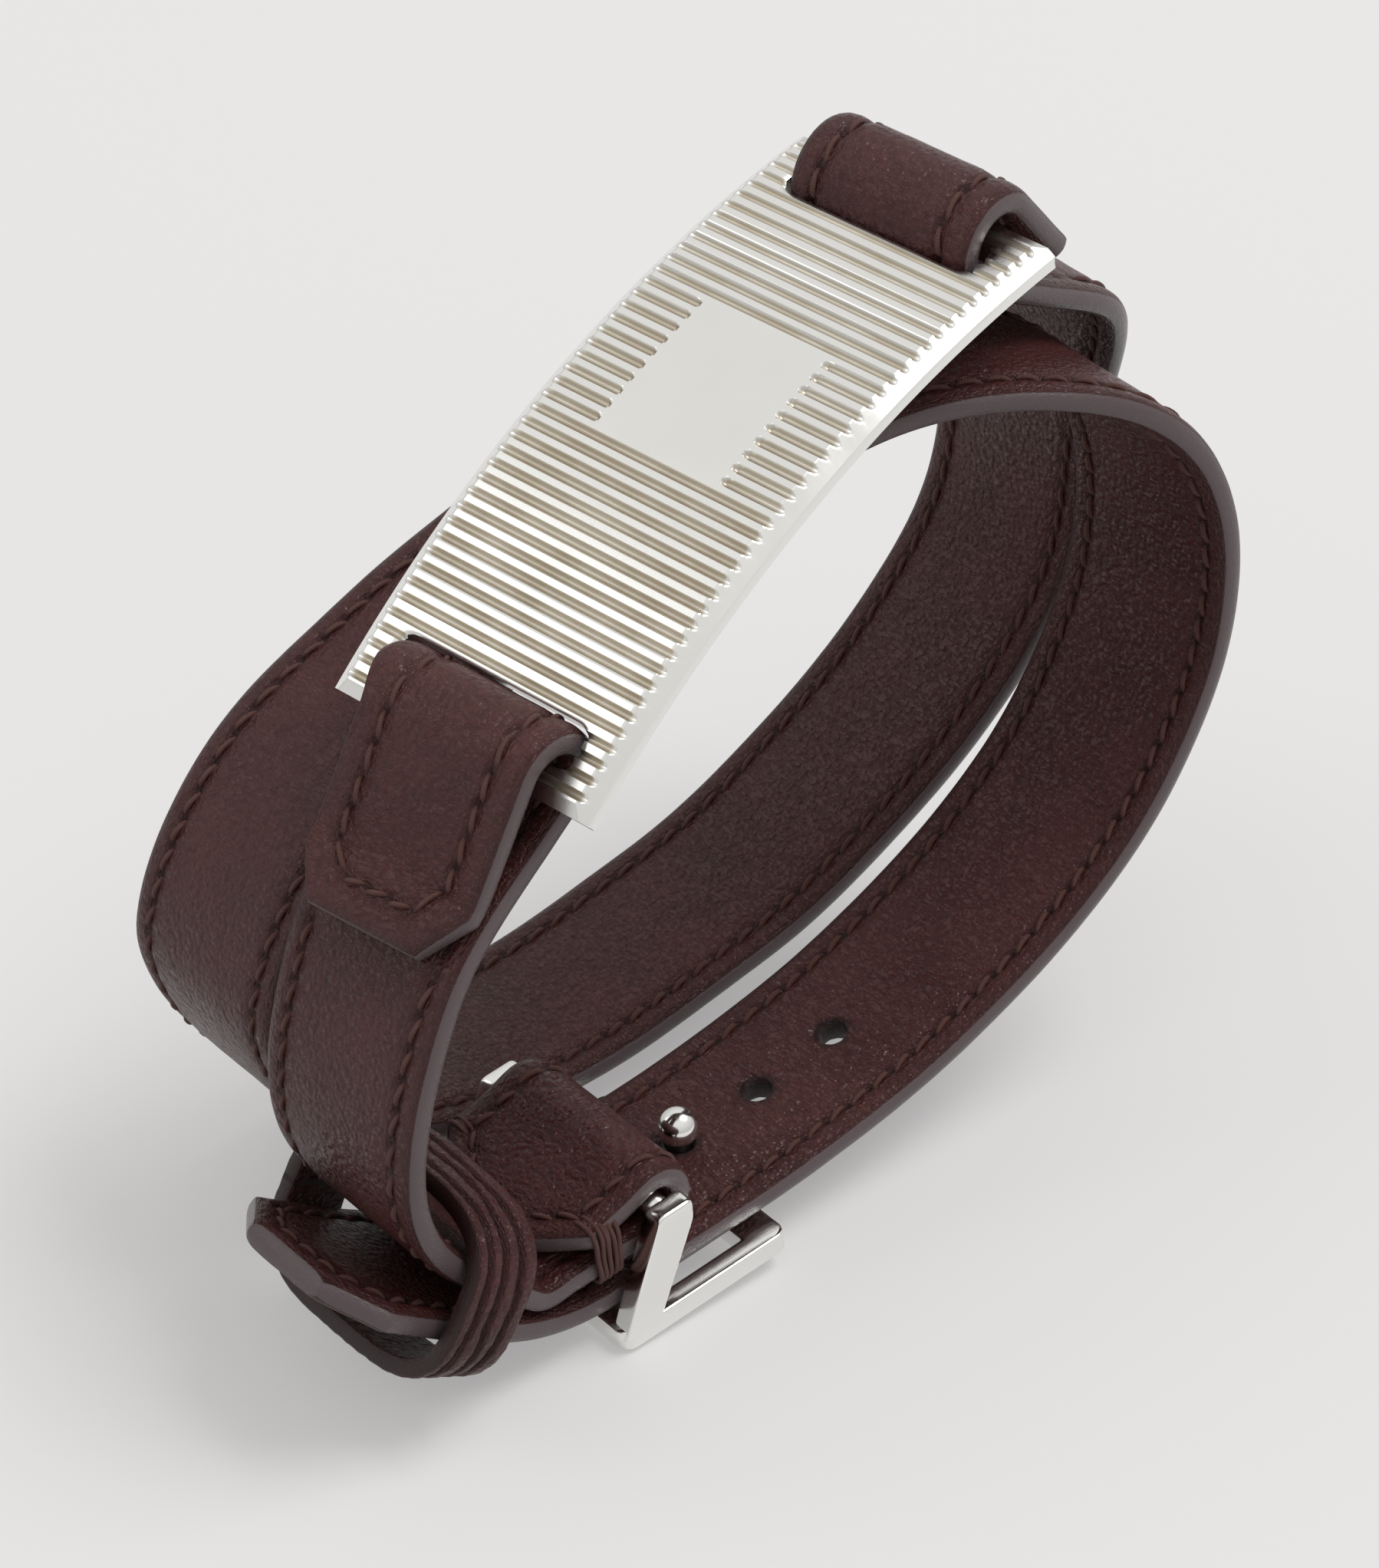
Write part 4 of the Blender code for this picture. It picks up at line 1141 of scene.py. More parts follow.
        points = np.vstack([block[0] for block in blocks])
        faces = blocks[0][1] + [part + offset for part in blocks[1][1]]
        run_marks = np.concatenate([block[2] for block in blocks])
        flat = np.stack([run_marks * 3.2, run_marks * 3.2, np.arange(len(points)) * 0.4], axis=1)
        piece = make_piece(self.name + "_stitching", points + self.layout.shift, faces, body,
                           {"flat": flat})
        piece.data.materials.append(workshop.thread("waxed_brown_thread", Finish.THREAD.value))


class Straps:
    """The short and the long strap, laid along the same routes as their solids."""

    def __init__(self, layout: Layout) -> None:
        """Lay both lines.

        Args:
            layout: The bracelet's measures.
        """
        self.layout = layout
        yaw = math.radians(layout.plate_yaw)
        self.short_line = StrapLine(self.short_route(), layout, (yaw, 0.0))
        self.long_line = StrapLine(self.long_route(), layout, (0.0, yaw))

    def short_route(self) -> Array:
        """Plate tab, lower bar fold, left side, buckle fold and its sewn end.

        Returns:
            Points that the middle line passes through.
        """
        lay = self.layout
        centre = lay.bar_centre(-1)
        leave = lay.lower_leave
        run_in = np.array([lay.beside_bar(centre, leave, 1.0, lay.neck,
                                          lay.neck_share * lay.bar_fold_radius),
                           lay.beside_bar(centre, leave, 1.0, lay.pinch, lay.fold_pitch / 2)])
        left = [(-0.329, 0.613, 0.09), (-0.366, 0.527, 0.05), (-0.392, 0.433, 0.02),
                (-0.4, 0.375, 0.0),
                (-0.397, 0.318, 0.0), (-0.384, 0.262, 0.0), (-0.357, 0.205, 0.0),
                (-0.316, 0.152, 0.0)]
        level = lay.on_buckle(np.array([-8.5, -6.0, -3.0]), 0.0, -lay.pin_fold)
        strand = np.vstack([run_in, [lay.loop_point(*item) for item in left], level])
        fold = lay.bar_fold(centre, leave, 1.0)[::-1]
        guide = StrapLine(strand, lay, polish=False)
        first = np.linalg.norm(run_in[1] - run_in[0])
        place, outward = guide.at(first + np.linspace(lay.lower_tab - lay.pinch, 0.5, 4))
        tab = place + lay.fold_pitch * outward
        turns = np.radians(np.arange(-90, 91, 20))
        loop = lay.on_buckle(lay.pin_fold * np.cos(turns), 0.0, lay.pin_fold * np.sin(turns))
        place, outward = guide.at(guide.length + 3.0 - np.linspace(5.2, lay.fold_length, 3))
        back = place - lay.fold_pitch * outward
        return np.vstack([tab, fold, strand, loop, back])

    def long_route(self) -> Array:
        """Tail, buckle, right side, crossing, left side, right side, upper bar fold and tab.

        Returns:
            Points that the middle line passes through.
        """
        lay = self.layout
        tail = [(-0.471, 0.225, 0.0), (-0.421, 0.176, 0.0), (-0.372, 0.125, 0.0),
                (-0.323, 0.079, 0.0),
                (-0.272, 0.04, 0.0)]
        level = lay.on_buckle(np.array([-5.5, 0.0, 6.0, 9.5]), 0.0, lay.tail_level)
        first_right = [(0.188, 0.092, 0.0), (0.278, 0.138, 0.0), (0.372, 0.203, 0.0),
                       (0.465, 0.304, 0.0),
                       (0.525, 0.425, 0.0), (0.554, 0.523, 0.0), (0.562, 0.62, 0.0),
                       (0.56, 0.694, 0.0),
                       (0.545, 0.779, 0.02), (0.522, 0.842, 0.04)]
        crossing = [(0.494, 0.888, 0.067), (0.457, 0.927, 0.13), (0.391, 0.963, 0.26),
                    (0.323, 0.981, 0.37),
                    (0.269, 0.977, 0.48), (0.215, 0.954, 0.58), (0.131, 0.902, 0.72),
                    (0.062, 0.854, 0.83)]
        left = [(-0.006, 0.792, 0.92), (-0.08, 0.754, 0.95), (-0.168, 0.696, 0.97),
                (-0.254, 0.629, 1.0),
                (-0.32, 0.538, 1.0), (-0.357, 0.45, 1.0), (-0.371, 0.373, 1.0),
                (-0.355, 0.292, 1.0),
                (-0.317, 0.2, 1.0), (-0.254, 0.125, 1.0), (-0.178, 0.079, 1.0), (-0.1, 0.054, 1.0)]
        second_right = [(-0.031, 0.046, 1.0), (0.055, 0.052, 1.0), (0.15, 0.081, 0.99),
                        (0.246, 0.117, 0.97),
                        (0.346, 0.19, 0.945), (0.448, 0.285, 0.925), (0.532, 0.406, 0.905),
                        (0.565, 0.477, 0.9),
                        (0.58, 0.56, 0.895), (0.583, 0.665, 0.89), (0.588, 0.735, 0.875),
                        (0.588, 0.81, 0.83),
                        (0.571, 0.885, 0.75), (0.535, 0.954, 0.65)]
        centre = lay.bar_centre(1)
        leave = lay.upper_leave
        run_out = np.array([lay.beside_bar(centre, leave, -1.0, lay.pinch, lay.fold_pitch / 2),
                            lay.beside_bar(centre, leave, -1.0, lay.neck,
                                           lay.neck_share * lay.bar_fold_radius)])
        free = [lay.loop_point(*item) for item in first_right + crossing + left + second_right]
        strand = np.vstack([[lay.loop_point(*item) for item in tail], level, free, run_out])
        guide = StrapLine(strand, lay, polish=False)
        last = np.linalg.norm(run_out[1] - run_out[0])
        place, outward = guide.at(guide.length - last
                                  - np.linspace(0.5, lay.upper_tab - lay.pinch, 3))
        return np.vstack([strand, lay.bar_fold(centre, leave, -1.0), place + lay.fold_pitch
                          * outward])

    def build(self, workshop: Workshop, body: str) -> None:
        """Make both straps.

        Args:
            workshop: Where the materials come from.
            body: CAD body that the pieces ride on.
        """
        lay = self.layout
        fold = math.pi * lay.bar_fold_radius
        lower = lay.lower_tab + fold + lay.lower_tab + 1.0
        upper = lay.upper_tab + fold + lay.upper_tab + 1.0
        end = self.short_line.length
        hidden = {1.0: [(0.0, lay.lower_tab - 3.0), (lay.lower_tab + fold + 2.0, lower)],
                  -1.0: [(end - 2 * lay.fold_length - 6.5, end)]}
        short = Strap("short_strap", lay, self.short_line,
                      ("short_strap_outer", "short_strap_lining"), hidden)
        short.build(workshop, body)
        stud = lay.on_buckle(lay.stud_reach, 0.0, lay.tail_level)
        start = int(np.argmin(np.linalg.norm(self.long_line.middle[:500] - stud, axis=1)))
        near = float(self.long_line.reach[start])
        holes = [near + k * lay.hole_pitch for k in range(lay.hole_count)]
        length = self.long_line.length
        hidden = {1.0: [(length - lay.upper_tab + 3.0, length),
                        (length - upper, length - lay.upper_tab - fold - 2.0)]}
        long = Strap("long_strap", lay, self.long_line, ("long_strap_outer", "long_strap_lining"),
                     hidden, holes, tab_at_start=False, tab_length=lay.upper_tab, tab_trim=0.0)
        long.build(workshop, body)


# --- Plate ---------------------------------------------------------------------------------------
@dataclass
class Plate:
    """The curved ribbed plate with its two slots."""

    layout: Layout
    pitch: float = 1.03
    groove_half: float = 0.27
    groove_depth: float = 0.34
    bevel: float = 0.95
    drop: float = 0.8
    end_bevel: float = 0.8
    end_drop: float = 0.4
    slot_length: float = 2.8
    slot_half: float = 7.0
    slot_round: float = 0.9
    slot_drop: float = 0.14
    slot_soft: float = 0.16
    panel_shift: int = 3
    panel_half: float = 4.6
    panel_grooves: int = 10
    rows_per_pitch: int = 13

    def columns(self) -> Array:
        """Distances across, close together at the bevels, the slot's ends and the panel's sides.

        Returns:
            Distances from one long edge to the other, in order.
        """
        half = self.layout.plate_width / 2
        parts = [np.linspace(0.0, self.panel_half - 0.6, 6),
                 np.linspace(self.panel_half - 0.45, self.panel_half + 0.3, 7),
                 np.linspace(self.panel_half + 0.7, 5.9, 3), np.linspace(6.1, self.slot_half, 6),
                 np.linspace(self.slot_half + 0.2, half - self.bevel - 0.1, 6),
                 np.linspace(half - self.bevel - 0.02, half - self.bevel + 0.45, 8),
                 np.array([half - 0.12, half])]
        right = np.unique(np.concatenate(parts))
        return np.concatenate([-right[:0:-1], right])

    def groove_share(self, x: Array, y: Array) -> Array:
        """Depth of the nearest groove from 0 to 1: a round floor, and round ends beside the panel.

        Args:
            x: Distances along the plate.
            y: Distances across it.

        Returns:
            Shares of a groove's full depth.
        """
        arc = self.layout.plate_arc
        count = int(arc / self.pitch - 0.6)
        first = -(count - 1) / 2 * self.pitch
        index = np.clip(np.round((x - first) / self.pitch), 0, count - 1)
        aside = x - (first + index * self.pitch)
        low = (count - self.panel_grooves) // 2 + self.panel_shift
        short = (index >= low) & (index < low + self.panel_grooves)
        inside = np.clip(self.panel_half + self.groove_half - np.abs(y), 0.0, None)
        past = np.where(short, inside, 0.0)
        away = np.hypot(aside, past) / self.groove_half
        return np.clip(1.0 - away ** 2, 0.0, 1.0) ** 0.6

    def slot_distance(self, x: Array, y: Array, side: int) -> Array:
        """Signed distance to a slot's rounded outline, negative inside.

        Args:
            x: Distances along the plate.
            y: Distances across it.
            side: -1 for the lower slot and 1 for the upper one.

        Returns:
            The signed distances.
        """
        lay = self.layout
        centre = side * (lay.plate_arc / 2 - lay.bar_width - self.slot_length / 2)
        qx = np.abs(x - centre) - (self.slot_length / 2 - self.slot_round)
        qy = np.abs(y) - (self.slot_half - self.slot_round)
        outside = np.hypot(np.clip(qx, 0.0, None), np.clip(qy, 0.0, None))
        return outside + np.minimum(np.maximum(qx, qy), 0.0) - self.slot_round

    def build(self, workshop: Workshop, body: str) -> None:
        """Make the plate.

        The top's level is the lowest of the flat face less its grooves, the two long bevels and the
        two end bevels, softened near the slots, and the flat result is bent to the plate's curve.

        Args:
            workshop: Where the materials come from.
            body: CAD body that the pieces ride on.
        """
        lay = self.layout
        arc, half = lay.plate_arc, lay.plate_width / 2
        rows = np.linspace(-arc / 2, arc / 2, int(arc / self.pitch * self.rows_per_pitch))
        edges = [side * (arc / 2 - lay.bar_width - k * self.slot_length) for side in (-1, 1)
                 for k in (0, 1)]
        rows = np.unique(np.concatenate([rows, edges]))
        x, y = np.meshgrid(rows, self.columns(), indexing="ij")
        keep = np.ones((x.shape[0] - 1, x.shape[1] - 1), bool)
        for side in (-1, 1):
            punch(x, y, keep, lambda a, b, at=side: self.slot_distance(a, b, at))
        groove = self.groove_share(x, y)
        level = -self.groove_depth * groove
        long_bevel = -self.drop * (np.abs(y) - half + self.bevel) / self.bevel
        end_bevel = -self.end_drop * (np.abs(x) - arc / 2 + self.end_bevel) / self.end_bevel
        level = np.minimum(level,
                           np.minimum(np.clip(long_bevel, -self.drop, 0.0),
                                      np.clip(end_bevel, -1.0, 0.0)))
        slot = np.minimum(self.slot_distance(x, y, -1), self.slot_distance(x, y, 1))
        level = level - self.slot_drop * np.exp(-np.clip(slot, 0.0, None) / self.slot_soft)
        under = -lay.plate_thickness + 0.1 * np.exp(-np.clip(half - np.abs(y), 0.0, None) / 0.2)
        under = under + 0.08 * np.exp(-np.clip(slot, 0.0, None) / 0.2)
        top, bottom = lay.on_plate(x, y, level), lay.on_plate(x, y, under)
        points, faces, source, wall = shell(top, bottom, keep, 0.04, 2)
        open_run = smooth(half - self.bevel + 0.25, half - self.bevel - 0.15, np.abs(y))
        hollow = (smooth(0.05, 0.55, groove) * open_run).ravel()[source] * (wall < 0.3)
        piece = make_piece("ribbed_plate", points + lay.shift, faces, body, {"hollow": hollow},
                           sharp=38.0)
        piece.data.materials.append(workshop.silver("pale_silver", Finish.PLATE.value))
        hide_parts("plate")


# --- Buckle --------------------------------------------------------------------------------------
class TurnAxis(Enum):
    """Which axis of the buckle a turned piece is round."""

    STUD = "z"
    PIN = "y"


@dataclass
class Buckle:
    """The polished buckle: frame with two arms, pin, and ball-headed stud."""

    layout: Layout
    inner_half: float = 6.95
    side_bar: float = 1.4
    thickness: float = 1.5
    back: float = 4.6
    back_bar: float = 2.0
    front_bar: float = 2.6
    gap: float = 0.4
    arm_root: float = 2.7
    arm_head: float = 0.6
    stud_radius: float = 0.65
    ball_radius: float = 1.28
    ball_gap: float = 0.08
    section_power: float = 0.22
    corner_bend: float = 0.34

    def __post_init__(self) -> None:
        """Levels and ends that follow from the layout."""
        lay = self.layout
        self.top = lay.tail_level - lay.strap_thickness / 2 - self.gap
        self.front = lay.stud_reach + self.front_bar / 2
        self.outer_half = self.inner_half + self.side_bar

    @staticmethod
    def rounded(low: tuple[float, float], high: tuple[float, float], radius: float,
                per_corner: int) -> Array:
        """Rounded rectangle between two corners, counter-clockwise.

        Args:
            low: Lowest corner.
            high: Highest corner.
            radius: Radius of the corners.
            per_corner: Points on each corner.

        Returns:
            The outline's points.
        """
        turn = np.linspace(0.0, math.pi / 2, per_corner)
        arcs = []
        places = ((high[0], high[1]), (low[0], high[1]), (low[0], low[1]), (high[0], low[1]))
        for k, (cx, cy) in enumerate(places):
            sx = math.copysign(1, cx - (low[0] + high[0]) / 2)
            sy = math.copysign(1, cy - (low[1] + high[1]) / 2)
            angle = turn + k * math.pi / 2
            arcs.append(np.stack([cx - sx * radius + radius * np.cos(angle),
                                  cy - sy * radius + radius * np.sin(angle)], axis=1))
        return np.vstack(arcs)

    def frame_points(self) -> Array:
        """Ring of the frame: a rounded box section carried round the window.

        The section is a superellipse between the inner and the outer outline and between the two
        faces, with the exponent section_power for soft edges.

        Returns:
            Points, outline by section by 3.
        """
        outer = self.rounded((-self.back, -self.outer_half), (self.front, self.outer_half), 0.9, 9)
        inner = self.rounded((-self.back + self.back_bar, -self.inner_half),
                             (self.front - self.front_bar, self.inner_half), 0.25, 9)
        angle = np.linspace(0.0, 2 * math.pi, 24, endpoint=False)
        wide = np.sign(np.cos(angle)) * np.abs(np.cos(angle)) ** self.section_power
        tall = np.sign(np.sin(angle)) * np.abs(np.sin(angle)) ** self.section_power
        middle, reach = (outer + inner) / 2, (outer - inner) / 2
        plan = middle[:, None] + reach[:, None] * wide[None, :, None]
        level = np.broadcast_to(self.top - self.thickness / 2 + self.thickness / 2 * tall,
                                plan.shape[:2])
        return self.layout.on_buckle(plan[..., 0], plan[..., 1], level)

    def arm_points(self, side: float) -> Array:
        """Pillow of an arm: its outline pulled in at both faces, as rings across its thickness.

        Args:
            side: -1 for the near arm and 1 for the far one.

        Returns:
            Points, rings by outline by 3.
        """
        lay = self.layout
        head = lay.pin_radius + self.arm_head
        middle = self.top - self.thickness / 2
        corners = np.array([[-self.back + 0.06, middle], [-self.back + self.arm_root, middle],
                            [head, -0.3],
                            [head, 0.75 * head], [-0.85 * head, 0.75 * head]])
        loops = []
        for k in range(len(corners)):
            here, before, after = corners[k], corners[k - 1], corners[(k + 1) % len(corners)]
            first = here + unit(before - here) * self.corner_bend
            last = here + unit(after - here) * self.corner_bend
            w = np.linspace(0.0, 1.0, 5)[:, None]
            loops.append((1 - w) ** 2 * first + 2 * w * (1 - w) * here + w ** 2 * last)
        outline = resample(np.vstack(loops + [loops[0][:1]]), 0.22)[:-1]
        centre = outline.mean(0)
        turn = np.linspace(-math.pi / 2, math.pi / 2, 15)
        shrink = 1.0 - 0.16 * (1 - np.cos(turn) ** 0.35)
        level = np.sign(np.sin(turn)) * np.abs(np.sin(turn)) ** 0.45 * self.side_bar / 2
        plan = centre + shrink[:, None, None] * (outline - centre)
        y = side * (self.inner_half + self.side_bar / 2) + np.broadcast_to(level[:, None],
                                                                           plan.shape[:2])
        return lay.on_buckle(plan[..., 0], y, plan[..., 1])

    def turned(self, radius: Array, level: Array, axis: TurnAxis, x: float,
               sides: int = 40) -> Array:
        """Rings of a turned piece: radius at each level round the buckle's z or the pin's y axis.

        Args:
            radius: Radius at each level.
            level: Distances along the axis.
            axis: Which axis the piece is round.
            x: Where the axis stands along the buckle.
            sides: Points round each ring.

        Returns:
            Points, rings by sides by 3.
        """
        angle = np.linspace(0.0, 2 * math.pi, sides, endpoint=False)
        a, b = radius[:, None] * np.cos(angle), radius[:, None] * np.sin(angle)
        if axis is TurnAxis.STUD:
            return self.layout.on_buckle(x + a, b, np.broadcast_to(level[:, None], a.shape))
        return self.layout.on_buckle(x + b, np.broadcast_to(level[:, None], a.shape), a)

    def build(self, workshop: Workshop, body: str) -> None:
        """Make the frame, the pin and the stud.

        Args:
            workshop: Where the materials come from.
            body: CAD body that the pieces ride on.
        """
        lay = self.layout
        metal = workshop.silver("polished_silver", Finish.BUCKLE.value)
        ring = self.frame_points()
        points, faces = [ring.reshape(-1, 3)], loft(ring, close_rows=True)
        offset = ring.shape[0] * ring.shape[1]
        for side in (-1.0, 1.0):
            arm = self.arm_points(side)
            points.append(arm.reshape(-1, 3))
            faces += [block + offset for block in loft(arm)]
            offset += arm.shape[0] * arm.shape[1]
        everything = np.vstack(points)
        hollow = np.zeros(len(everything))
        frame = make_piece("buckle_frame_polished", everything + lay.shift, faces, body,
                           {"hollow": hollow}, sharp=60.0)
        frame.data.materials.append(metal)
        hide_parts("buckle_frame")
        reach = self.inner_half + 0.5
        level = np.array([-reach, -reach + 0.15, 0.0, reach - 0.15, reach])
        pin = self.turned(lay.pin_radius * np.array([0.8, 1.0, 1.0, 1.0, 0.8]), level,
                          TurnAxis.PIN, 0.0, 28)
        self.finish_turned("buckle_pin_polished", pin, body, metal, "buckle_pin")
        ball = lay.tail_level + lay.strap_thickness / 2 + self.ball_gap + self.ball_radius
        neck = math.asin(self.stud_radius / self.ball_radius)
        turn = np.linspace(0.02, math.pi - neck, 28)
        bottom = self.top - 0.7 * self.thickness
        radius = np.concatenate([self.ball_radius * np.sin(turn), [self.stud_radius] * 2])
        level = np.concatenate([ball + self.ball_radius * np.cos(turn),
                                [(ball + bottom) / 2 - 0.5, bottom]])
        stud = self.turned(radius, level, TurnAxis.STUD, lay.stud_reach)
        self.finish_turned("stud_polished", stud[:, ::-1], body, metal, "stud")

    def finish_turned(self, name: str, rings: Array, body: str, metal: bpy.types.Material,
                      node: str) -> None:
        """Write a turned piece's mesh in place of its CAD node.

        Args:
            name: Object name.
            rings: Points, rings by sides by 3.
            body: CAD body that the pieces ride on.
            metal: The piece's material.
            node: CAD node that the piece stands for.
        """
        points = rings.reshape(-1, 3)
        piece = make_piece(name, points + self.layout.shift, loft(rings), body,
                           {"hollow": np.zeros(len(points))}, sharp=50.0)
        piece.data.materials.append(metal)
        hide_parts(node)


# --- Keeper --------------------------------------------------------------------------------------
@dataclass
class Keeper:
    """The loose leather ring round both straps."""

    layout: Layout
    width: float = 4.8
    thickness: float = 1.1
    side_clearance: float = 0.75
    rise: float = 4.8
    slope: float = -30.0
    squareness: float = 3.2
    section_power: float = 0.2
    puff: float = 0.12
    creases: tuple[float, ...] = (-1.5, -0.2, 1.1)
    crease_half: float = 0.19
    crease_depth: float = 0.5

    def section_angles(self) -> Array:
        """Angles round the section, spaced so that the flat faces get even points.

        Returns:
            Angles in radians, once round.
        """
        run = np.linspace(-1.0, 1.0, 34)[1:-1]
        face = np.arccos(np.sign(run) * np.abs(run) ** 5.0)[::-1]
        ends = np.array([-0.6, -0.2, 0.2, 0.6])
        return np.concatenate([face, math.pi + ends, 2 * math.pi - face[::-1], ends])

    def build(self, workshop: Workshop, body: str) -> None:
        """Make the ring.

        The middle line is the superellipse |y|^p + |z|^p = 1; the section is a rounded box.
        Three creases are pressed into the outer face, which bulges out a little between its sides.

        Args:
            workshop: Where the materials come from.
            body: CAD body that the pieces ride on.
        """
        lay = self.layout
        half_y = lay.strap_width / 2 + self.side_clearance + self.thickness / 2
        half_z = self.rise + self.thickness / 2
        angle = np.linspace(0.0, 2 * math.pi, 400, endpoint=False)
        power = 2.0 / self.squareness
        loop = np.stack([half_y * np.sign(np.cos(angle)) * np.abs(np.cos(angle)) ** power,
                         half_z * np.sign(np.sin(angle)) * np.abs(np.sin(angle)) ** power], axis=1)
        loop = resample(np.vstack([loop, loop[:1]]), 0.35)[:-1]
        forward = unit(np.roll(loop, -1, axis=0) - np.roll(loop, 1, axis=0))
        out = np.stack([forward[:, 1], -forward[:, 0]], axis=1)
        around = self.section_angles()
        wide = np.abs(np.cos(around)) ** self.section_power
        tall = np.abs(np.sin(around)) ** self.section_power
        across = np.sign(np.cos(around)) * wide * self.width / 2
        through = np.sign(np.sin(around)) * tall * self.thickness / 2
        run = arc_lengths(np.vstack([loop, loop[:1]]))[:-1]
        lines = np.zeros((len(loop), len(around)))
        for k, at in enumerate(self.creases):
            wander = at + 0.16 * wavy(21 + k, run, 2.2)
            lines += np.exp(-((across[None, :] - wander[:, None]) / self.crease_half) ** 2)
        on_face = np.clip(through / (self.thickness / 2), 0.0, 1.0)
        level = through[None, :] + (self.puff - self.crease_depth * lines) * on_face
        level += 0.05 * on_face * wavy(31, run[:, None] + across[None, :] * 2.0, 1.6)
        level += 0.035 * on_face * wavy(33, run[:, None] + across[None, :] * 0.4, 0.17)
        plan = loop[:, None] + level[..., None] * out[:, None]
        tilt = math.radians(self.slope)
        axis = np.array([math.cos(tilt), 0.0, math.sin(tilt)])
        rise = np.array([-math.sin(tilt), 0.0, math.cos(tilt)])
        centre = lay.loop_point(-0.344, 0.148, 0.0)
        points = (centre + across[None, :, None] * axis + plan[..., :1] * np.array([0.0, 1.0, 0.0])
                  + plan[..., 1:] * rise).reshape(-1, 3)
        edge = np.broadcast_to(np.where(wide > 0.97, 1.0, 0.0)[None, :], lines.shape).ravel()
        flat = np.stack(np.broadcast_arrays(run[:, None], across[None, :], level * 6.0),
                        axis=-1).reshape(-1, 3)
        # Painted shade in the pressed creases of the outer face.
        painted_shade = np.clip(lines * on_face * 0.9, 0.0, 1.0).ravel()
        faces = [block[:, ::-1] for block in loft(points.reshape(len(loop), len(around), 3),
                                                  close_rows=True)]
        piece = make_piece("keeper_leather_band", points + lay.shift, faces, body,
                           {"flat": flat, "edge": edge, "painted_shade": painted_shade})
        piece.data.materials.append(workshop.leather("keeper_leather_dark", Finish.KEEPER.value))
        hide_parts("keeper_band")


# --- Bar tacks -----------------------------------------------------------------------------------
@dataclass
class BarTack:
    """Wound thread that binds the folded end to the strap beside the pin, at one edge."""

    layout: Layout
    name: str
    side: float
    turns: int = 6
    spacing: float = 0.3
    radius: float = 0.17
    back: float = 4.0
    reach: float = 1.6
    lift: float = 0.12

    def build(self, workshop: Workshop, body: str) -> None:
        """Each turn is a U round the strap's edge, with both ends sunk in the leather.

        Args:
            workshop: Where the materials come from.
            body: CAD body that the pieces ride on.
        """
        lay = self.layout
        low = -lay.pin_fold - lay.strap_thickness / 2 - self.lift
        high = -lay.pin_fold + lay.fold_pitch + lay.strap_thickness / 2 + self.lift
        edge, inner = lay.strap_width / 2 + 0.3, lay.strap_width / 2 - self.reach
        corners = np.array([[inner, high - 0.5], [inner + 0.25, high], [edge - 0.45, high],
                            [edge, high - 0.5],
                            [edge + 0.03, (low + high) / 2], [edge, low + 0.5], [edge - 0.45, low],
                            [inner + 0.25, low], [inner, low + 0.5]])
        path = resample(catmull_rom(corners, 8), 0.3)
        number = np.arange(self.turns)
        start = -self.back + (number - (self.turns - 1) / 2) * self.spacing
        along = number[:, None] * 2.0 + np.linspace(0, 3, len(path))[None]
        sway = 0.22 * wavy(41 + int(self.side), along, 1.3)
        x = start[:, None] + sway
        y = path[None, :, 0] + 0.05 * wavy(51, number, 0.7)[:, None]
        places = lay.on_buckle(x, self.side * y, np.broadcast_to(path[None, :, 1], x.shape))
        side = np.broadcast_to(lay.buckle_x, places.shape)
        points, faces, run = tubes(places, side, np.full(places.shape[:2], self.radius), 8)
        if self.side > 0:
            faces = [block[:, ::-1] for block in faces]
        flat = np.stack([run * 3.2, run * 3.2, np.arange(len(run)) * 0.4], axis=1)
        piece = make_piece(self.name + "_wound", points + lay.shift, faces, body, {"flat": flat})
        piece.data.materials.append(workshop.thread("waxed_brown_thread", Finish.THREAD.value))
        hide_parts(self.name)


# --- Stage ---------------------------------------------------------------------------------------
@dataclass(frozen=True)
class Softbox:
    """A square area light aimed at the bracelet."""

    name: str
    place: tuple[float, float, float]
    size: float
    power: float


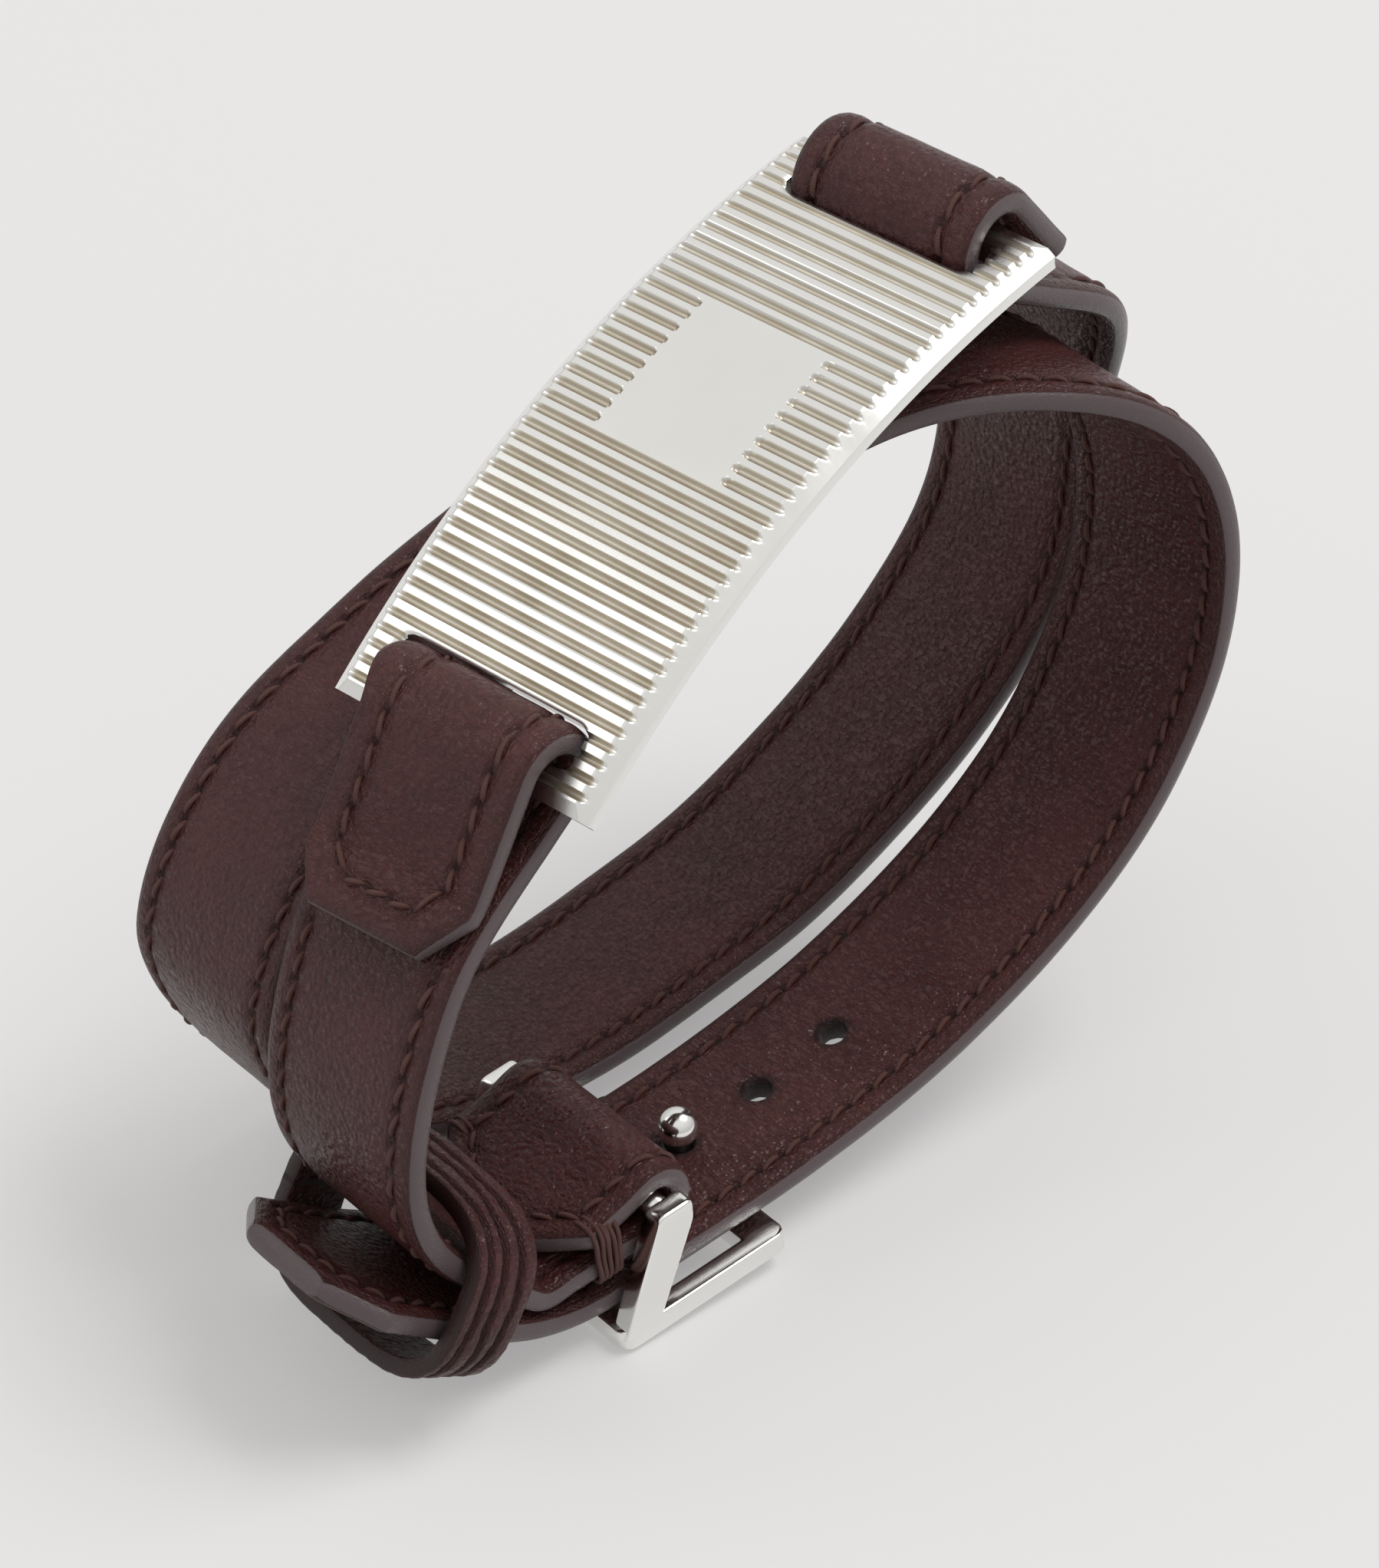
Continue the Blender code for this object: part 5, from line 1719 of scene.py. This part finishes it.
@dataclass
class Studio:
    """Pale floor, soft lights and the camera."""

    layout: Layout
    floor_tone: tuple[float, float, float] = (0.38, 0.376, 0.375)
    floor_glow: float = 0.83
    sky_tone: tuple[float, float, float] = (1.0, 0.995, 0.985)
    sky_strength: float = 0.8
    horizon_share: float = 0.55
    lights: tuple[Softbox, ...] = (
        Softbox("overhead_softbox", (0.75, -0.45, 1.7), 0.9, 22.0),
        Softbox("left_softbox", (-1.1, 0.9, 1.1), 1.2, 3.0),
    )
    elevation: float = 0.66
    heading: float = 0.867
    distance: float = 0.325
    aim: tuple[float, float] = (-0.46678583, 2.79903078)
    lens: float = 153.17

    def build(self) -> None:
        """Make the floor, the lights, the sky and the camera."""
        self.build_floor()
        target = Vector((0.0, 0.0, 0.03))
        for box in self.lights:
            light = bpy.data.lights.new(box.name, "AREA")
            light.size, light.energy = box.size, box.power
            lamp = bpy.data.objects.new(box.name, light)
            lamp.location = box.place
            lamp.rotation_euler = (target - Vector(box.place)).to_track_quat("-Z", "Y").to_euler()
            bpy.context.scene.collection.objects.link(lamp)
        self.build_sky()
        self.build_camera()

    def build_floor(self) -> None:
        """Wide matt floor at the bracelet's lowest level."""
        reach = 3.0
        level = float(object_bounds()[0].z) - 0.0002
        mesh = bpy.data.meshes.new("studio_floor")
        mesh.from_pydata([(-reach, -reach, level), (reach, -reach, level), (reach, reach, level),
                          (-reach, reach, level)],
                         [], [(0, 1, 2, 3)])
        floor = bpy.data.objects.new("studio_floor", mesh)
        bpy.context.scene.collection.objects.link(floor)
        material = bpy.data.materials.new("studio_paper")
        material.use_nodes = True
        skin = material.node_tree.nodes["Principled BSDF"]
        skin.inputs["Base Color"].default_value = (*self.floor_tone, 1.0)
        skin.inputs["Roughness"].default_value = 0.9
        skin.inputs["Specular IOR Level"].default_value = 0.1
        skin.inputs["Emission Color"].default_value = (*self.floor_tone, 1.0)
        skin.inputs["Emission Strength"].default_value = self.floor_glow
        mesh.materials.append(material)
        floor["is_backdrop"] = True

    def build_sky(self) -> None:
        """Even pale surroundings, a little darker at the horizon."""
        world = bpy.data.worlds.new("studio_sky")
        bpy.context.scene.world = world
        world.use_nodes = True
        shader = Shader(world.node_tree)
        up = shader.add("SeparateXYZ",
                        Vector=shader.add("TexCoord").outputs["Generated"]).outputs["Z"]
        tone = shader.remap(up, -0.1, 0.75, self.horizon_share, 1.0)
        glow = world.node_tree.nodes["Background"]
        shader.put(glow, "Color", shader.mix(tone, (0.0, 0.0, 0.0, 1.0), (*self.sky_tone, 1.0)))
        glow.inputs["Strength"].default_value = self.sky_strength

    def build_camera(self) -> None:
        """Camera on the line through the aim point, in strap widths from the layout's origin."""
        lay = self.layout
        e, a = self.elevation, self.heading
        ahead = np.array([math.cos(e) * math.cos(a), math.cos(e) * math.sin(a), -math.sin(e)])
        width = lay.strap_width
        point = np.array([self.aim[0] * width, -width / 2, self.aim[1] * width]) + lay.shift
        place = point * METRE - self.distance * ahead
        lens = bpy.data.cameras.new("camera")
        lens.sensor_fit = "HORIZONTAL"
        lens.sensor_width = 36.0
        lens.lens = self.lens
        camera = bpy.data.objects.new("camera", lens)
        camera.location = Vector(place)
        camera.rotation_euler = Vector(ahead).to_track_quat("-Z", "Y").to_euler()
        bpy.context.scene.collection.objects.link(camera)
        bpy.context.scene.camera = camera
        bpy.context.scene.view_settings.view_transform = "Standard"


def corners() -> list[list[float]]:
    """The shown object's lowest and highest corner as plain lists."""
    return [[float(value) for value in corner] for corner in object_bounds()]


def main() -> None:
    """Build the bracelet piece by piece, then the studio."""
    logging.basicConfig(level=logging.INFO, format="%(message)s")
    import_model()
    layout = Layout()
    workshop = Workshop()
    Straps(layout).build(workshop, "straps")
    Plate(layout).build(workshop, "plate")
    Buckle(layout).build(workshop, "buckle")
    Keeper(layout).build(workshop, "keeper")
    for name, side in (("bar_tack_near", -1.0), ("bar_tack_far", 1.0)):
        BarTack(layout, name, side).build(workshop, "straps")
    Studio(layout).build()


if __name__ == "__main__":
    main()
